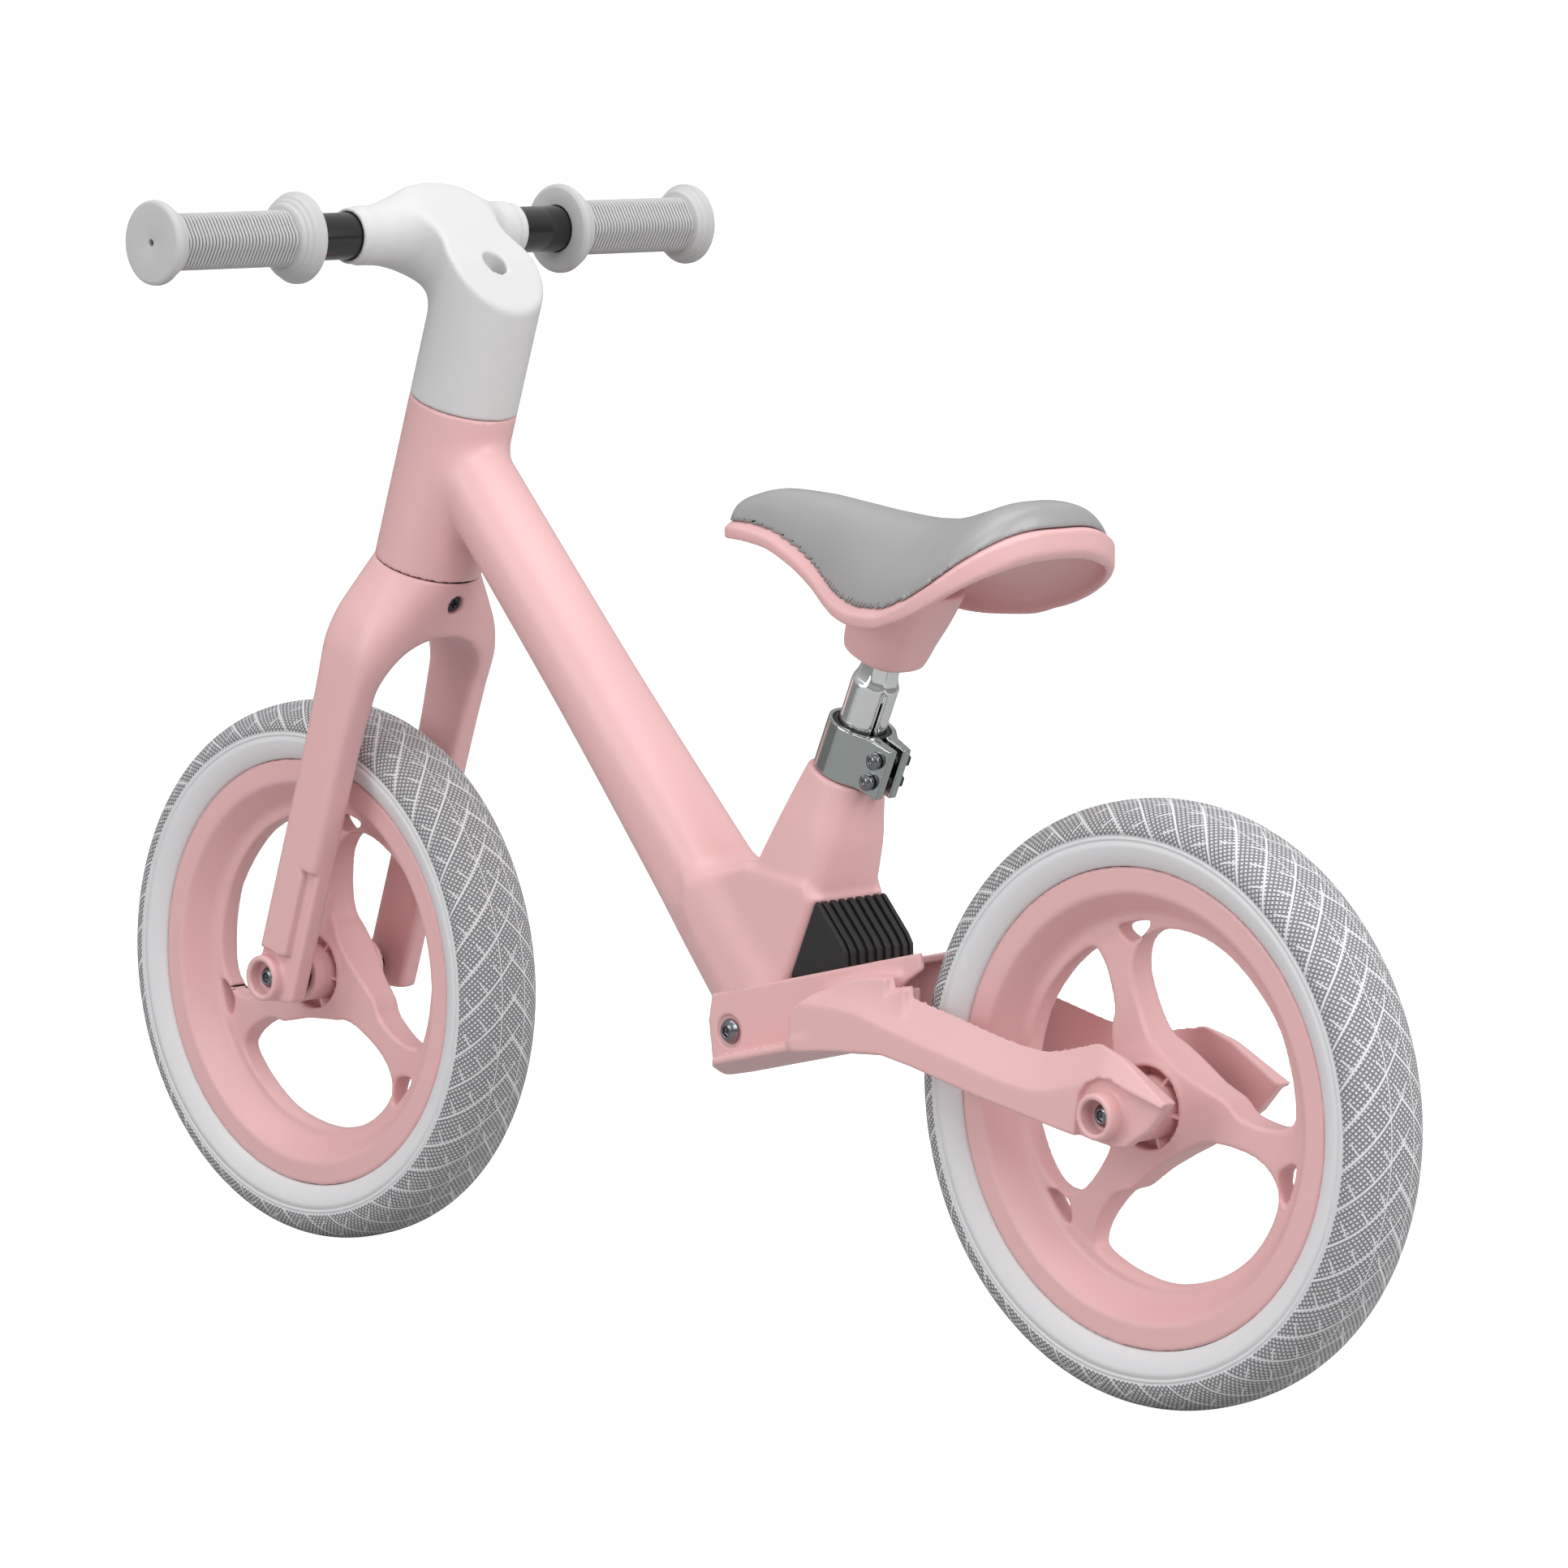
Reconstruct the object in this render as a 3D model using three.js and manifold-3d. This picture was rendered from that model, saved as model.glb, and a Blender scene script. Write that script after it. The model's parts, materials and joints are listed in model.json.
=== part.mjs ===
// A child's balance bike with a sprung rear end, as separate solids in a three.js scene graph.
// Millimetres. +X is forward, +Y the rider's left, +Z up; the origin is on the ground, midway
// between the axles on the centre plane.
import * as THREE from "three";
import { mergeVertices } from "three/addons/utils/BufferGeometryUtils.js";
import Module from "manifold-3d";

const wasm = await Module();
wasm.setup();

// ---------------------------------------------------------------- driving dimensions
// Clearances
const GAP = 0.3; // between two pieces that seat on each other
const SIDE_GAP = 0.6; // between the frame's flanks and the chassis walls
const CLEAR_BORE = 0.35; // radial room round a shaft or a bolt

// Wheels
const WHEELBASE = 622;
const TYRE_OD = 300;
const TYRE_HALF_WIDTH = 26.1;
const TYRE_HEIGHT = 31.6; // rim edge to tread
const RIM_HALF_WIDTH = 20.6;
const RIM_FLANGE = 2.6; // thickness of the rim's edge
const RIM_WELL_DEPTH = 5.5;
const RIM_FACE_WIDTH = 12; // flat ring inside the rim's edge
const DISH_WIDTH = 12.8; // radial width of the slope from that ring to the spokes
const SPOKE_HALF_THICKNESS = 4.4;
const WINDOW_RIM = 2.4; // web left between a window and the dish
const HUB_RING_RADIUS = 22.4;
const HUB_RING_WALL = 2;
const HUB_RING_Y = 14.6;
const HUB_POCKET_FLOOR = 6;
const HUB_BARREL_RADIUS = 15.6;
const HUB_HALF_WIDTH = 25;
const HUB_RIBS = 6;
const HUB_RIB_THICKNESS = 2;
const HUB_RIB_TURN = THREE.MathUtils.degToRad(8);
const BEARING_OD = 22;
const BEARING_WIDTH = 7;
const BEARING_RECESS = 0.6; // bearing face inside the barrel's end
const AXLE_DIAMETER = 8;
const SPACER_DIAMETER = 12;

// Axle bolts
const BOLT_HEAD_DIAMETER = 12.4;
const BOLT_HEAD_HEIGHT = 4.4;
const HEX_SOCKET = 5; // across flats
const NUT_ACROSS_FLATS = 13;
const NUT_HEIGHT = 5;
const NUT_OUTLINE_SIDES = 6;

// Steering: a frame of its own, z up the steering axis, x forward, origin level with the axle
const HEAD_ANGLE = THREE.MathUtils.degToRad(18.5);
const FORK_OFFSET = 5;
const BLADE_INNER_Y = 34;
const BLADE_OUTER_Y = 50;
const BLADE_FRONT = 16;
const BLADE_BACK = 17;
const BLADE_DROP = 13; // blade end below the axle
const POCKET_DEPTH = 4;
const POCKET_HEIGHT = 68;
const POCKET_BACK = 8;
const FORK_BOSS_RADIUS = 12.7;
const FORK_BOSS_Y = 52;
const BOSS_RECESS_RADIUS = 9;
const BOSS_SEAT_Y = 44.4; // where an axle bolt's head seats, at both wheels
const CROWN_ARCH_TOP = 211;
const CROWN_HALF_DEPTH = 26;
const CROWN_SCREW_RADIUS = 2.5;
const CROWN_SCREW_HEAD = 4.4;
const CROWN_SCREW_SEAT = 23;
const CROWN_SCREW_HEIGHT = 232;
const CROWN_SCREW_SLOT = [4.8, 1]; // length and width of each arm of its cross
const HEAD_BOTTOM = 243;
const HEAD_TOP = 337.4;
const HEAD_RADIUS = 29.4;
const SEAM = 0.7; // dark line between head, crown and stem
const STEERER_DIAMETER = 25.4;
const STEERER_WALL = 2;
const BUSH_OD = 36;
const BUSH_DEPTH = 11;
const BUSH_LIP = 0.4;

// Stem and handlebar, in the steering frame
const BAR_FORWARD = 53.4;
const BAR_HEIGHT = 415.8;
const BAR_DIAMETER = 25.2;
const BAR_WALL = 2;
const BAR_HALF_LENGTH = 190;
const SLEEVE_RADIUS = 15;
const SLEEVE_END_Y = 59;
const STEM_FACET_BACK = 400.8;
const STEM_FACET_AXIS = 419.4;
const STEM_PEAK = 441.5;
const SCREW_HOLE_RADIUS = 7;

// Grips
const GRIP_INNER_Y = 92;
const GRIP_OUTER_Y = 193.5;
const GRIP_FLATS = 29.6; // hexagonal barrel, across flats
const GRIP_INNER_DISC = 24.5;
const GRIP_OUTER_DISC = 22.2;
const GRIP_DISC_THICKNESS = 5;
const GRIP_STEP_WIDTH = 3;

// Main frame, side view
const DOWN_TUBE_TOP = [206.2, 446.9]; // tube axis where it meets the steering axis
const DOWN_TUBE_END = [-14, 205];
const DOWN_TUBE_RADIUS = 21.8;
const DOWN_TUBE_FOOT_RADIUS = 26;
const BASE_HALF_WIDTH = 27;
const SEAM_POINT = [-23, 176]; // chassis wall's top front corner
const CHASSIS_SLOPE = 0.25; // rise over run, towards the rear
const BASE_INSERT = 7; // base inside the chassis trough

// Seat tube: a frame of its own, z up the seat post, origin at the clamp's foot
const SEAT_FOOT = [-91, 294.6];
const SEAT_ANGLE = THREE.MathUtils.degToRad(23.5);
const POST_DIAMETER = 25;
const POST_DEPTH = 72; // post below the clamp's foot
const POST_SHOULDER = 55;
const POST_TOP = 77;
const POST_NECK_RADIUS = 9;
const POST_BORE_DEPTH = 96;
const NECK_WALL = 2.3;
const CLAMP_WALL = 2.3;
const CLAMP_HEIGHT = 28;
const CLAMP_SLOT = 4.6;
const EAR_REACH = 30;
const EAR_THICKNESS = 7;
const CLAMP_BOLT_DIAMETER = 5;
const CLAMP_HEAD_DIAMETER = 8.6;
const CLAMP_HEAD_HEIGHT = 5;
const CLAMP_BOLT_X = 23.5;
const CLAMP_BOLT_HEIGHTS = [7.5, 19.5];
const SHIM_HEIGHT = 3;

// Saddle
const SADDLE_STATIONS = [
  // x, half width of the rim, height of the rim's top edge
  [-9, 9, 416],
  [-14, 15, 416.5],
  [-27, 19.5, 417],
  [-50, 23, 415],
  [-75, 27, 407.5],
  [-97, 33, 396.5],
  [-120, 43, 387],
  [-145, 53, 382.5],
  [-165, 59, 383.5],
  [-187, 62.5, 389.5],
  [-208, 63, 401],
  [-225, 54, 414],
  [-236, 35, 424],
  [-241, 20, 427],
];
const SADDLE_SCREW_RADIUS = 3;
const SADDLE_MIDDLE = -125;
const SADDLE_HALF_LENGTH = 116;
const PAD_CREST = [
  // x, height of the pad on the centre plane
  [-9, 420],
  [-14, 427],
  [-27, 433],
  [-50, 437],
  [-75, 435.5],
  [-97, 432.5],
  [-120, 429.5],
  [-145, 427.5],
  [-165, 428.5],
  [-187, 432],
  [-208, 436.5],
  [-225, 439],
  [-236, 437],
  [-241, 431],
];
const SHELL_THICKNESS = 7.5;
const PAD_INSET = 2.5;
const BRACKET_BACK = 26;
const BRACKET_FRONT = 20;
const BRACKET_FOOT = 65; // along the seat post's axis

// Chassis and stays
const PIVOT = [-36.5, 158];
const PIVOT_BOLT_DIAMETER = 8;
const PIVOT_HEAD_DIAMETER = 13.4;
const PIVOT_RECESS_RADIUS = 8.6;
const PIVOT_SLEEVE_DIAMETER = 12;
const BUSH_WALL = 1.6;
const LUG_HALF_WIDTH = 23.5;
const LUG_RADIUS = 11;
const WALL_THICKNESS = 3.2;
const WALL_BOSS = 6; // thicker round the pivot, inwards
const WALL_REAR_X = -172;
const PLATE_HALF_WIDTH = 46;
const PLATE_FRONT_X = -40;
const PLATE_NOSE_X = -22;
const PLATE_NOSE_HALF_WIDTH = 14;
const PLATE_TOP = 146.5; // at PLATE_FRONT_X
const PLATE_LIP = 3.8;
const PLATE_KEEL = 10;
const STAY_INNER_Y = 37;
const STAY_OUTER_Y = 47;
const STAY_ROOT_INNER_Y = 29;
const STAY_OUTLINE = [
  [-96, 158],
  [-96, 178],
  [-110, 187],
  [-146.7, 198.7],
  [-158.6, 199.7],
  [-191, 194.8],
  [-226, 187.8],
  [-260, 181.4],
  [-282, 181],
  [-302, 183.4],
  [-320, 177.9],
  [-351, 160],
  [-338, 145.3],
  [-323, 135.6],
  [-315, 134.4],
  [-282, 139.3],
  [-221, 150.2],
  [-181, 158],
  [-159, 161.5],
  [-120, 158],
];
const STAY_BOSS_RADIUS = 11.5;
const STAY_BOSS_Y = 53.6;
const DECK_THICKNESS = 4;
const DECK_FRONT_X = -82;
const DECK_REAR_X = -158;

// Rubber spring block between the frame's rear face and the chassis deck
const BLOCK_HALF_WIDTH = 25;
const BLOCK_CREST = [-94.3, 230];
const BLOCK_SHOULDER = [-114, 210.5];
const BLOCK_HEEL_X = -120;
const FRAME_REAR_TOP = [-93, 231]; // the frame's flat rear face, from crest to seam
const FRAME_REAR_FOOT = [-75, 191];

// ---------------------------------------------------------------- derived values
const AXLE_Z = TYRE_OD / 2;
const RIM_RADIUS = AXLE_Z - TYRE_HEIGHT;
const RIM_FACE_INNER = RIM_RADIUS - RIM_FACE_WIDTH;
const WEB_RADIUS = RIM_FACE_INNER - DISH_WIDTH;
const WINDOW_RADIUS = WEB_RADIUS - WINDOW_RIM;
const BEARING_FACE_Y = HUB_HALF_WIDTH - BEARING_RECESS;
const AXLE_RADIUS = AXLE_DIAMETER / 2;
const POST_RADIUS = POST_DIAMETER / 2;
const NECK_BORE = POST_RADIUS + CLEAR_BORE;
const NECK_RADIUS = NECK_BORE + NECK_WALL;
const CLAMP_BORE = NECK_RADIUS + GAP;
const CLAMP_RADIUS = CLAMP_BORE + CLAMP_WALL;
const SEAT_TUBE_RADIUS = CLAMP_RADIUS;
const EAR_OUTER_Y = CLAMP_SLOT / 2 + EAR_THICKNESS;
// The ear's outer face leans in towards its tip; the bolt heads stand on a level spot face.
const CLAMP_SEAT_Y = EAR_OUTER_Y + 0.8;
const TROUGH_INNER_Y = BASE_HALF_WIDTH + SIDE_GAP;
const TROUGH_OUTER_Y = TROUGH_INNER_Y + WALL_THICKNESS;
const PIVOT_SEAT_Y = TROUGH_OUTER_Y - 1.6;
const STEERER_RADIUS = STEERER_DIAMETER / 2;
const BAR_RADIUS = BAR_DIAMETER / 2;
const HEX_CORNER = 1 / Math.cos(Math.PI / 6); // corner radius over half the distance across flats

const seamHeight = (x) => SEAM_POINT[1] + CHASSIS_SLOPE * (SEAM_POINT[0] - x);
const plateTop = (x) => PLATE_TOP + CHASSIS_SLOPE * (PLATE_FRONT_X - x);

// ---------------------------------------------------------------- solids
const TYRE_SIDES = 48;
const RIM_SIDES = 36;
const ROUND = 24;
const SMALL = 16;

// A closed geometry as a manifold-3d solid, turned right side out if it came inside out.
function solid(geometry) {
  const bare = geometry.clone();
  bare.deleteAttribute("normal");
  bare.deleteAttribute("uv");
  const merged = mergeVertices(bare, 1e-4);
  const position = merged.attributes.position;
  const index = Array.from(merged.index.array);
  const corner = [new THREE.Vector3(), new THREE.Vector3(), new THREE.Vector3()];
  let volume = 0;
  for (let i = 0; i < index.length; i += 3) {
    corner.forEach((v, k) => v.fromBufferAttribute(position, index[i + k]));
    volume += corner[0].dot(corner[1].cross(corner[2]));
  }
  if (volume < 0) index.reverse();
  return new wasm.Manifold(
    new wasm.Mesh({
      numProp: 3,
      vertProperties: new Float32Array(position.array),
      triVerts: new Uint32Array(index),
    }),
  );
}

const join = (...parts) => parts.reduce((a, b) => a.add(b));
const cut = (body, ...tools) => tools.reduce((a, b) => a.subtract(b), body);

function shapeOf(points) {
  return new THREE.Shape(points.map(([a, b]) => new THREE.Vector2(a, b)));
}

function prism(points, depth) {
  return new THREE.ExtrudeGeometry(shapeOf(points), { depth, bevelEnabled: false });
}

// An outline of x and z, extruded from y0 to y1.
function plate(points, y0, y1) {
  return prism(points, y1 - y0).rotateX(Math.PI / 2).translate(0, y1, 0);
}

// An outline of y and z, extruded from x0 to x1.
function frontPlate(points, x0, x1) {
  const turn = new THREE.Matrix4().makeBasis(
    new THREE.Vector3(0, 1, 0),
    new THREE.Vector3(0, 0, 1),
    new THREE.Vector3(1, 0, 0),
  );
  return prism(points, x1 - x0).applyMatrix4(turn).translate(x0, 0, 0);
}

function barY(radius, y0, y1, x = 0, z = 0, sides = SMALL, endRadius = radius) {
  return new THREE.CylinderGeometry(endRadius, radius, y1 - y0, sides).translate(x, (y0 + y1) / 2, z);
}

function barZ(radius, z0, z1, sides = ROUND, endRadius = radius) {
  return new THREE.CylinderGeometry(endRadius, radius, z1 - z0, sides)
    .rotateX(Math.PI / 2)
    .translate(0, 0, (z0 + z1) / 2);
}

function boxOf(x0, x1, y0, y1, z0, z1) {
  return new THREE.BoxGeometry(x1 - x0, y1 - y0, z1 - z0).translate(
    (x0 + x1) / 2,
    (y0 + y1) / 2,
    (z0 + z1) / 2,
  );
}

// A closed ring of [radius, y] points turned about the Y axis.
function ringY(profile, sides) {
  const closed = [...profile, profile[0]];
  return new THREE.LatheGeometry(
    closed.map(([r, y]) => new THREE.Vector2(r, y)),
    sides,
  );
}

// A skin through rings of equally many points, closed by a flat fan at each end.
function loft(rings) {
  const count = rings[0].length;
  const points = rings.flat();
  const middle = (ring) => ring.reduce((a, p) => a.add(p), new THREE.Vector3()).divideScalar(count);
  points.push(middle(rings[0]), middle(rings[rings.length - 1]));
  const first = points.length - 2;
  const index = [];
  for (let r = 0; r < rings.length - 1; r++) {
    for (let i = 0; i < count; i++) {
      const a = r * count + i;
      const b = r * count + ((i + 1) % count);
      index.push(a, b, b + count, a, b + count, a + count);
    }
  }
  const last = (rings.length - 1) * count;
  for (let i = 0; i < count; i++) {
    const j = (i + 1) % count;
    index.push(first, j, i, first + 1, last + i, last + j);
  }
  return new THREE.BufferGeometry().setFromPoints(points).setIndex(index);
}

// A rounded section in the plane of two unit vectors; power 2 is an ellipse, more is squarer.
function section(centre, u, halfU, v, halfV, power = 2, count = 24) {
  const round = (c) => Math.sign(c) * Math.abs(c) ** (2 / power);
  return Array.from({ length: count }, (_, i) => {
    const angle = (i * 2 * Math.PI) / count;
    return centre
      .clone()
      .addScaledVector(u, halfU * round(Math.cos(angle)))
      .addScaledVector(v, halfV * round(Math.sin(angle)));
  });
}

const AXIS_X = new THREE.Vector3(1, 0, 0);
const AXIS_Y = new THREE.Vector3(0, 1, 0);
const at = ([x, z], y = 0) => new THREE.Vector3(x, y, z);

// ---------------------------------------------------------------- materials and groups
function material(colour, roughness, metalness) {
  return new THREE.MeshStandardMaterial({ color: colour, roughness, metalness });
}

const PINK = [0xe3b4b6, 0.42, 0];
const LIGHT_GREY = [0xd2d2d3, 0.6, 0];
const TYRE_GREY = [0xbdbcbe, 0.75, 0];
const PAD_GREY = [0xa9a9aa, 0.6, 0];
const BLACK_RUBBER = [0x1c1a1d, 0.7, 0];
const BLACK_PLASTIC = [0x17171a, 0.5, 0];
const BLACK_STEEL = [0x0d0e0d, 0.18, 0.6];
const CHROME = [0xdfe3e6, 0.08, 1];
const STEEL = [0xaab2b3, 0.3, 1];

const bike = new THREE.Group();
const steering = new THREE.Group();
const seat = new THREE.Group();
const frontHub = new THREE.Group();
const rearHub = new THREE.Group();
bike.add(steering, seat, frontHub, rearHub);

frontHub.position.set(WHEELBASE / 2, 0, AXLE_Z);
rearHub.position.set(-WHEELBASE / 2, 0, AXLE_Z);
steering.rotation.y = -HEAD_ANGLE;
steering.position.set(
  WHEELBASE / 2 - FORK_OFFSET * Math.cos(HEAD_ANGLE),
  0,
  AXLE_Z - FORK_OFFSET * Math.sin(HEAD_ANGLE),
);
seat.rotation.y = -SEAT_ANGLE;
seat.position.set(SEAT_FOOT[0], 0, SEAT_FOOT[1]);
bike.updateMatrixWorld(true);

// A geometry given in a group's frame, moved to the bike's frame, or the other way.
const outOf = (group, geometry) => geometry.applyMatrix4(group.matrixWorld);
const into = (group, geometry) => geometry.applyMatrix4(group.matrixWorld.clone().invert());

function piece(name, body, look, group = bike) {
  const { vertProperties, triVerts } = body.getMesh();
  const geometry = new THREE.BufferGeometry()
    .setAttribute("position", new THREE.BufferAttribute(vertProperties, 3))
    .setIndex(new THREE.BufferAttribute(triVerts, 1));
  geometry.computeVertexNormals();
  const mesh = new THREE.Mesh(geometry, material(...look));
  mesh.name = name;
  group.add(mesh);
}

// ---------------------------------------------------------------- wheels
const WINDOW_POINTS = [
  // fraction of the window's radius, degrees from the middle of one spoke
  [0.94, 8],
  [0.78, 6],
  [0.6, 8],
  [0.46, 20],
  [0.39, 45],
  [0.39, 75],
  [0.42, 95],
  [0.56, 107],
  [0.74, 110],
  [0.88, 106],
  [0.96, 96],
  [1, 82],
  [1, 66],
  [1, 50],
  [1, 34],
  [0.99, 18],
];
const SPOKE_HOLE = [
  [82.5, -10],
  [90.5, -5],
  [91, -18],
];
const FRONT_SPOKE = -32; // degrees from straight back, towards up
const REAR_SPOKE = -7;
const SPOKES = 3;

const polar = (radius, degrees) => {
  const angle = THREE.MathUtils.degToRad(degrees);
  return [-radius * Math.cos(angle), radius * Math.sin(angle)];
};

function rimProfile() {
  const inner = RIM_HALF_WIDTH - RIM_FLANGE;
  const well = RIM_RADIUS - RIM_WELL_DEPTH;
  const half = [
    [well, 0],
    [well, inner],
    [RIM_RADIUS, inner],
    [RIM_RADIUS, RIM_HALF_WIDTH],
    [RIM_FACE_INNER, RIM_HALF_WIDTH],
    [WEB_RADIUS, SPOKE_HALF_THICKNESS],
    [HUB_RING_RADIUS + 18, SPOKE_HALF_THICKNESS + 1],
    [HUB_RING_RADIUS + 5, HUB_RING_Y - 5],
    [HUB_RING_RADIUS, HUB_RING_Y],
    [HUB_RING_RADIUS - HUB_RING_WALL, HUB_RING_Y],
    [HUB_RING_RADIUS - HUB_RING_WALL, HUB_POCKET_FLOOR],
    [HUB_BARREL_RADIUS, HUB_POCKET_FLOOR],
    [HUB_BARREL_RADIUS, HUB_HALF_WIDTH],
    [BEARING_OD / 2 + GAP, HUB_HALF_WIDTH],
    [BEARING_OD / 2 + GAP, BEARING_FACE_Y - BEARING_WIDTH - GAP],
    [BEARING_OD / 2 - 2, BEARING_FACE_Y - BEARING_WIDTH - GAP],
    [BEARING_OD / 2 - 2, 0],
  ];
  const mirrored = half.slice(1, -1).map(([r, y]) => [r, -y]);
  return [...half, ...mirrored.reverse()];
}

function rimSolid(firstSpoke) {
  const through = [-RIM_HALF_WIDTH, RIM_HALF_WIDTH];
  let rim = solid(ringY(rimProfile(), RIM_SIDES));
  for (let i = 0; i < SPOKES; i++) {
    const turn = firstSpoke + (i * 360) / SPOKES;
    const window = WINDOW_POINTS.map(([share, deg]) => polar(share * WINDOW_RADIUS, turn + deg));
    const hole = SPOKE_HOLE.map(([radius, deg]) => polar(radius, turn + deg));
    rim = cut(rim, solid(plate(window, ...through)), solid(plate(hole, ...through)));
  }
  for (let i = 0; i < HUB_RIBS; i++) {
    const rib = boxOf(
      HUB_BARREL_RADIUS - 1,
      HUB_RING_RADIUS - 1,
      -HUB_RING_Y + 1,
      HUB_RING_Y - 1,
      -HUB_RIB_THICKNESS / 2,
      HUB_RIB_THICKNESS / 2,
    );
    rim = join(rim, solid(rib.rotateY(HUB_RIB_TURN + (i * 2 * Math.PI) / HUB_RIBS)));
  }
  return rim;
}

function tyreSolid() {
  const well = RIM_RADIUS - RIM_WELL_DEPTH + GAP;
  const bead = RIM_RADIUS + GAP;
  const inner = RIM_HALF_WIDTH - RIM_FLANGE - GAP;
  const section = AXLE_Z - RIM_RADIUS;
  const shoulder = (share, height) => [RIM_RADIUS + height * section, share * TYRE_HALF_WIDTH];
  const half = [
    [well, inner],
    [bead, inner],
    [bead, RIM_HALF_WIDTH],
    shoulder(1, 0.34),
    shoulder(0.93, 0.62),
    shoulder(0.66, 0.87),
  ];
  const mirrored = half.map(([r, y]) => [r, -y]).reverse();
  return solid(ringY([...half, [AXLE_Z, 0], ...mirrored], TYRE_SIDES));
}

function bearingSolid(side) {
  const outer = BEARING_FACE_Y;
  const inner = BEARING_FACE_Y - BEARING_WIDTH;
  const profile = [
    [AXLE_RADIUS + CLEAR_BORE, inner],
    [BEARING_OD / 2, inner],
    [BEARING_OD / 2, outer],
    [AXLE_RADIUS + CLEAR_BORE, outer],
  ];
  return solid(ringY(profile.map(([r, y]) => [r, side * y]), ROUND));
}

function buildWheel(prefix, hub, firstSpoke) {
  piece(prefix + "_rim", rimSolid(firstSpoke), PINK, hub);
  piece(prefix + "_tyre", tyreSolid(), TYRE_GREY, hub);
  piece(prefix + "_bearing_left", bearingSolid(1), STEEL, hub);
  piece(prefix + "_bearing_right", bearingSolid(-1), STEEL, hub);
}

// The axle bolt, its nut and the spacers, which stay still while the wheel turns.
function hexBar(acrossFlats, y0, y1) {
  return barY((acrossFlats / 2) * HEX_CORNER, y0, y1, 0, 0, NUT_OUTLINE_SIDES);
}

// A button head from its seat to its crown, with a hexagonal socket.
function buttonHead(diameter, seatY) {
  const half = diameter / 2;
  const crown = seatY + BOLT_HEAD_HEIGHT;
  const head = new THREE.LatheGeometry(
    [
      new THREE.Vector2(0, seatY),
      new THREE.Vector2(half, seatY),
      new THREE.Vector2(half, seatY + BOLT_HEAD_HEIGHT * 0.3),
      new THREE.Vector2(half * 0.86, seatY + BOLT_HEAD_HEIGHT * 0.72),
      new THREE.Vector2(half * 0.55, crown),
      new THREE.Vector2(0, crown),
    ],
    SMALL,
  );
  return cut(solid(head), solid(hexBar(HEX_SOCKET, crown - BOLT_HEAD_HEIGHT * 0.6, crown + 1)));
}

function buildAxle(prefix, innerY, hub) {
  const tail = -(BOSS_SEAT_Y + NUT_HEIGHT + 1.5);
  const shank = solid(barY(AXLE_RADIUS, tail, BOSS_SEAT_Y + 1));
  const bolt = join(shank, buttonHead(BOLT_HEAD_DIAMETER, BOSS_SEAT_Y + GAP));
  const bore = AXLE_RADIUS + CLEAR_BORE;
  const nut = cut(
    solid(hexBar(NUT_ACROSS_FLATS, -BOSS_SEAT_Y - GAP - NUT_HEIGHT, -BOSS_SEAT_Y - GAP)),
    solid(barY(bore, -BOSS_SEAT_Y - NUT_HEIGHT - 2, -BOSS_SEAT_Y)),
  );
  piece(prefix + "_axle_bolt", bolt, STEEL, hub);
  piece(prefix + "_axle_nut", nut, STEEL, hub);
  for (const [side, sign] of [["left", 1], ["right", -1]]) {
    const ends = [sign * (BEARING_FACE_Y + GAP), sign * (innerY - GAP)].sort((a, b) => a - b);
    const spacer = cut(
      solid(barY(SPACER_DIAMETER / 2, ...ends)),
      solid(barY(bore, ends[0] - 1, ends[1] + 1)),
    );
    piece(prefix + "_spacer_" + side, spacer, BLACK_STEEL, hub);
  }
  const sleeveEnd = BEARING_FACE_Y - BEARING_WIDTH - GAP;
  const sleeve = cut(
    solid(barY(AXLE_RADIUS + 2, -sleeveEnd, sleeveEnd)),
    solid(barY(bore, -sleeveEnd - 1, sleeveEnd + 1)),
  );
  piece(prefix + "_axle_sleeve", sleeve, STEEL, hub);
}

// ---------------------------------------------------------------- fork and steerer
// Front view of the fork: shoulders and blades, less the arch over the wheel.
function forkFrontOutline(top) {
  const shoulder = [
    [BLADE_OUTER_Y, CROWN_ARCH_TOP - 28],
    [BLADE_OUTER_Y - 2, CROWN_ARCH_TOP - 8],
    [BLADE_OUTER_Y - 8, CROWN_ARCH_TOP + 9],
    [HEAD_RADIUS + 4, top - 10],
    [HEAD_RADIUS, top],
  ];
  const arch = [
    [BLADE_INNER_Y, CROWN_ARCH_TOP - 32],
    [BLADE_INNER_Y * 0.93, CROWN_ARCH_TOP - 17],
    [BLADE_INNER_Y * 0.72, CROWN_ARCH_TOP - 6],
    [BLADE_INNER_Y * 0.38, CROWN_ARCH_TOP - 1],
  ];
  const foot = -BLADE_DROP * 2.4;
  const left = [[BLADE_OUTER_Y, foot], ...shoulder];
  const right = left.map(([y, z]) => [-y, z]).reverse();
  const inside = [[BLADE_INNER_Y, foot], ...arch].map(([y, z]) => [-y, z]);
  return [...left, ...right, ...inside, ...[[BLADE_INNER_Y, foot], ...arch].reverse()];
}

function forkSideOutline(top) {
  const foot = -BLADE_DROP * 2.4;
  return [
    [BLADE_FRONT, foot],
    [BLADE_FRONT, CROWN_ARCH_TOP - 70],
    [BLADE_FRONT + 4, CROWN_ARCH_TOP - 30],
    [CROWN_HALF_DEPTH, CROWN_ARCH_TOP],
    [HEAD_RADIUS, top],
    [-HEAD_RADIUS, top],
    [-CROWN_HALF_DEPTH, CROWN_ARCH_TOP],
    [-BLADE_BACK - 3, CROWN_ARCH_TOP - 30],
    [-BLADE_BACK, CROWN_ARCH_TOP - 70],
    [-BLADE_BACK, foot],
  ];
}

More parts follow.
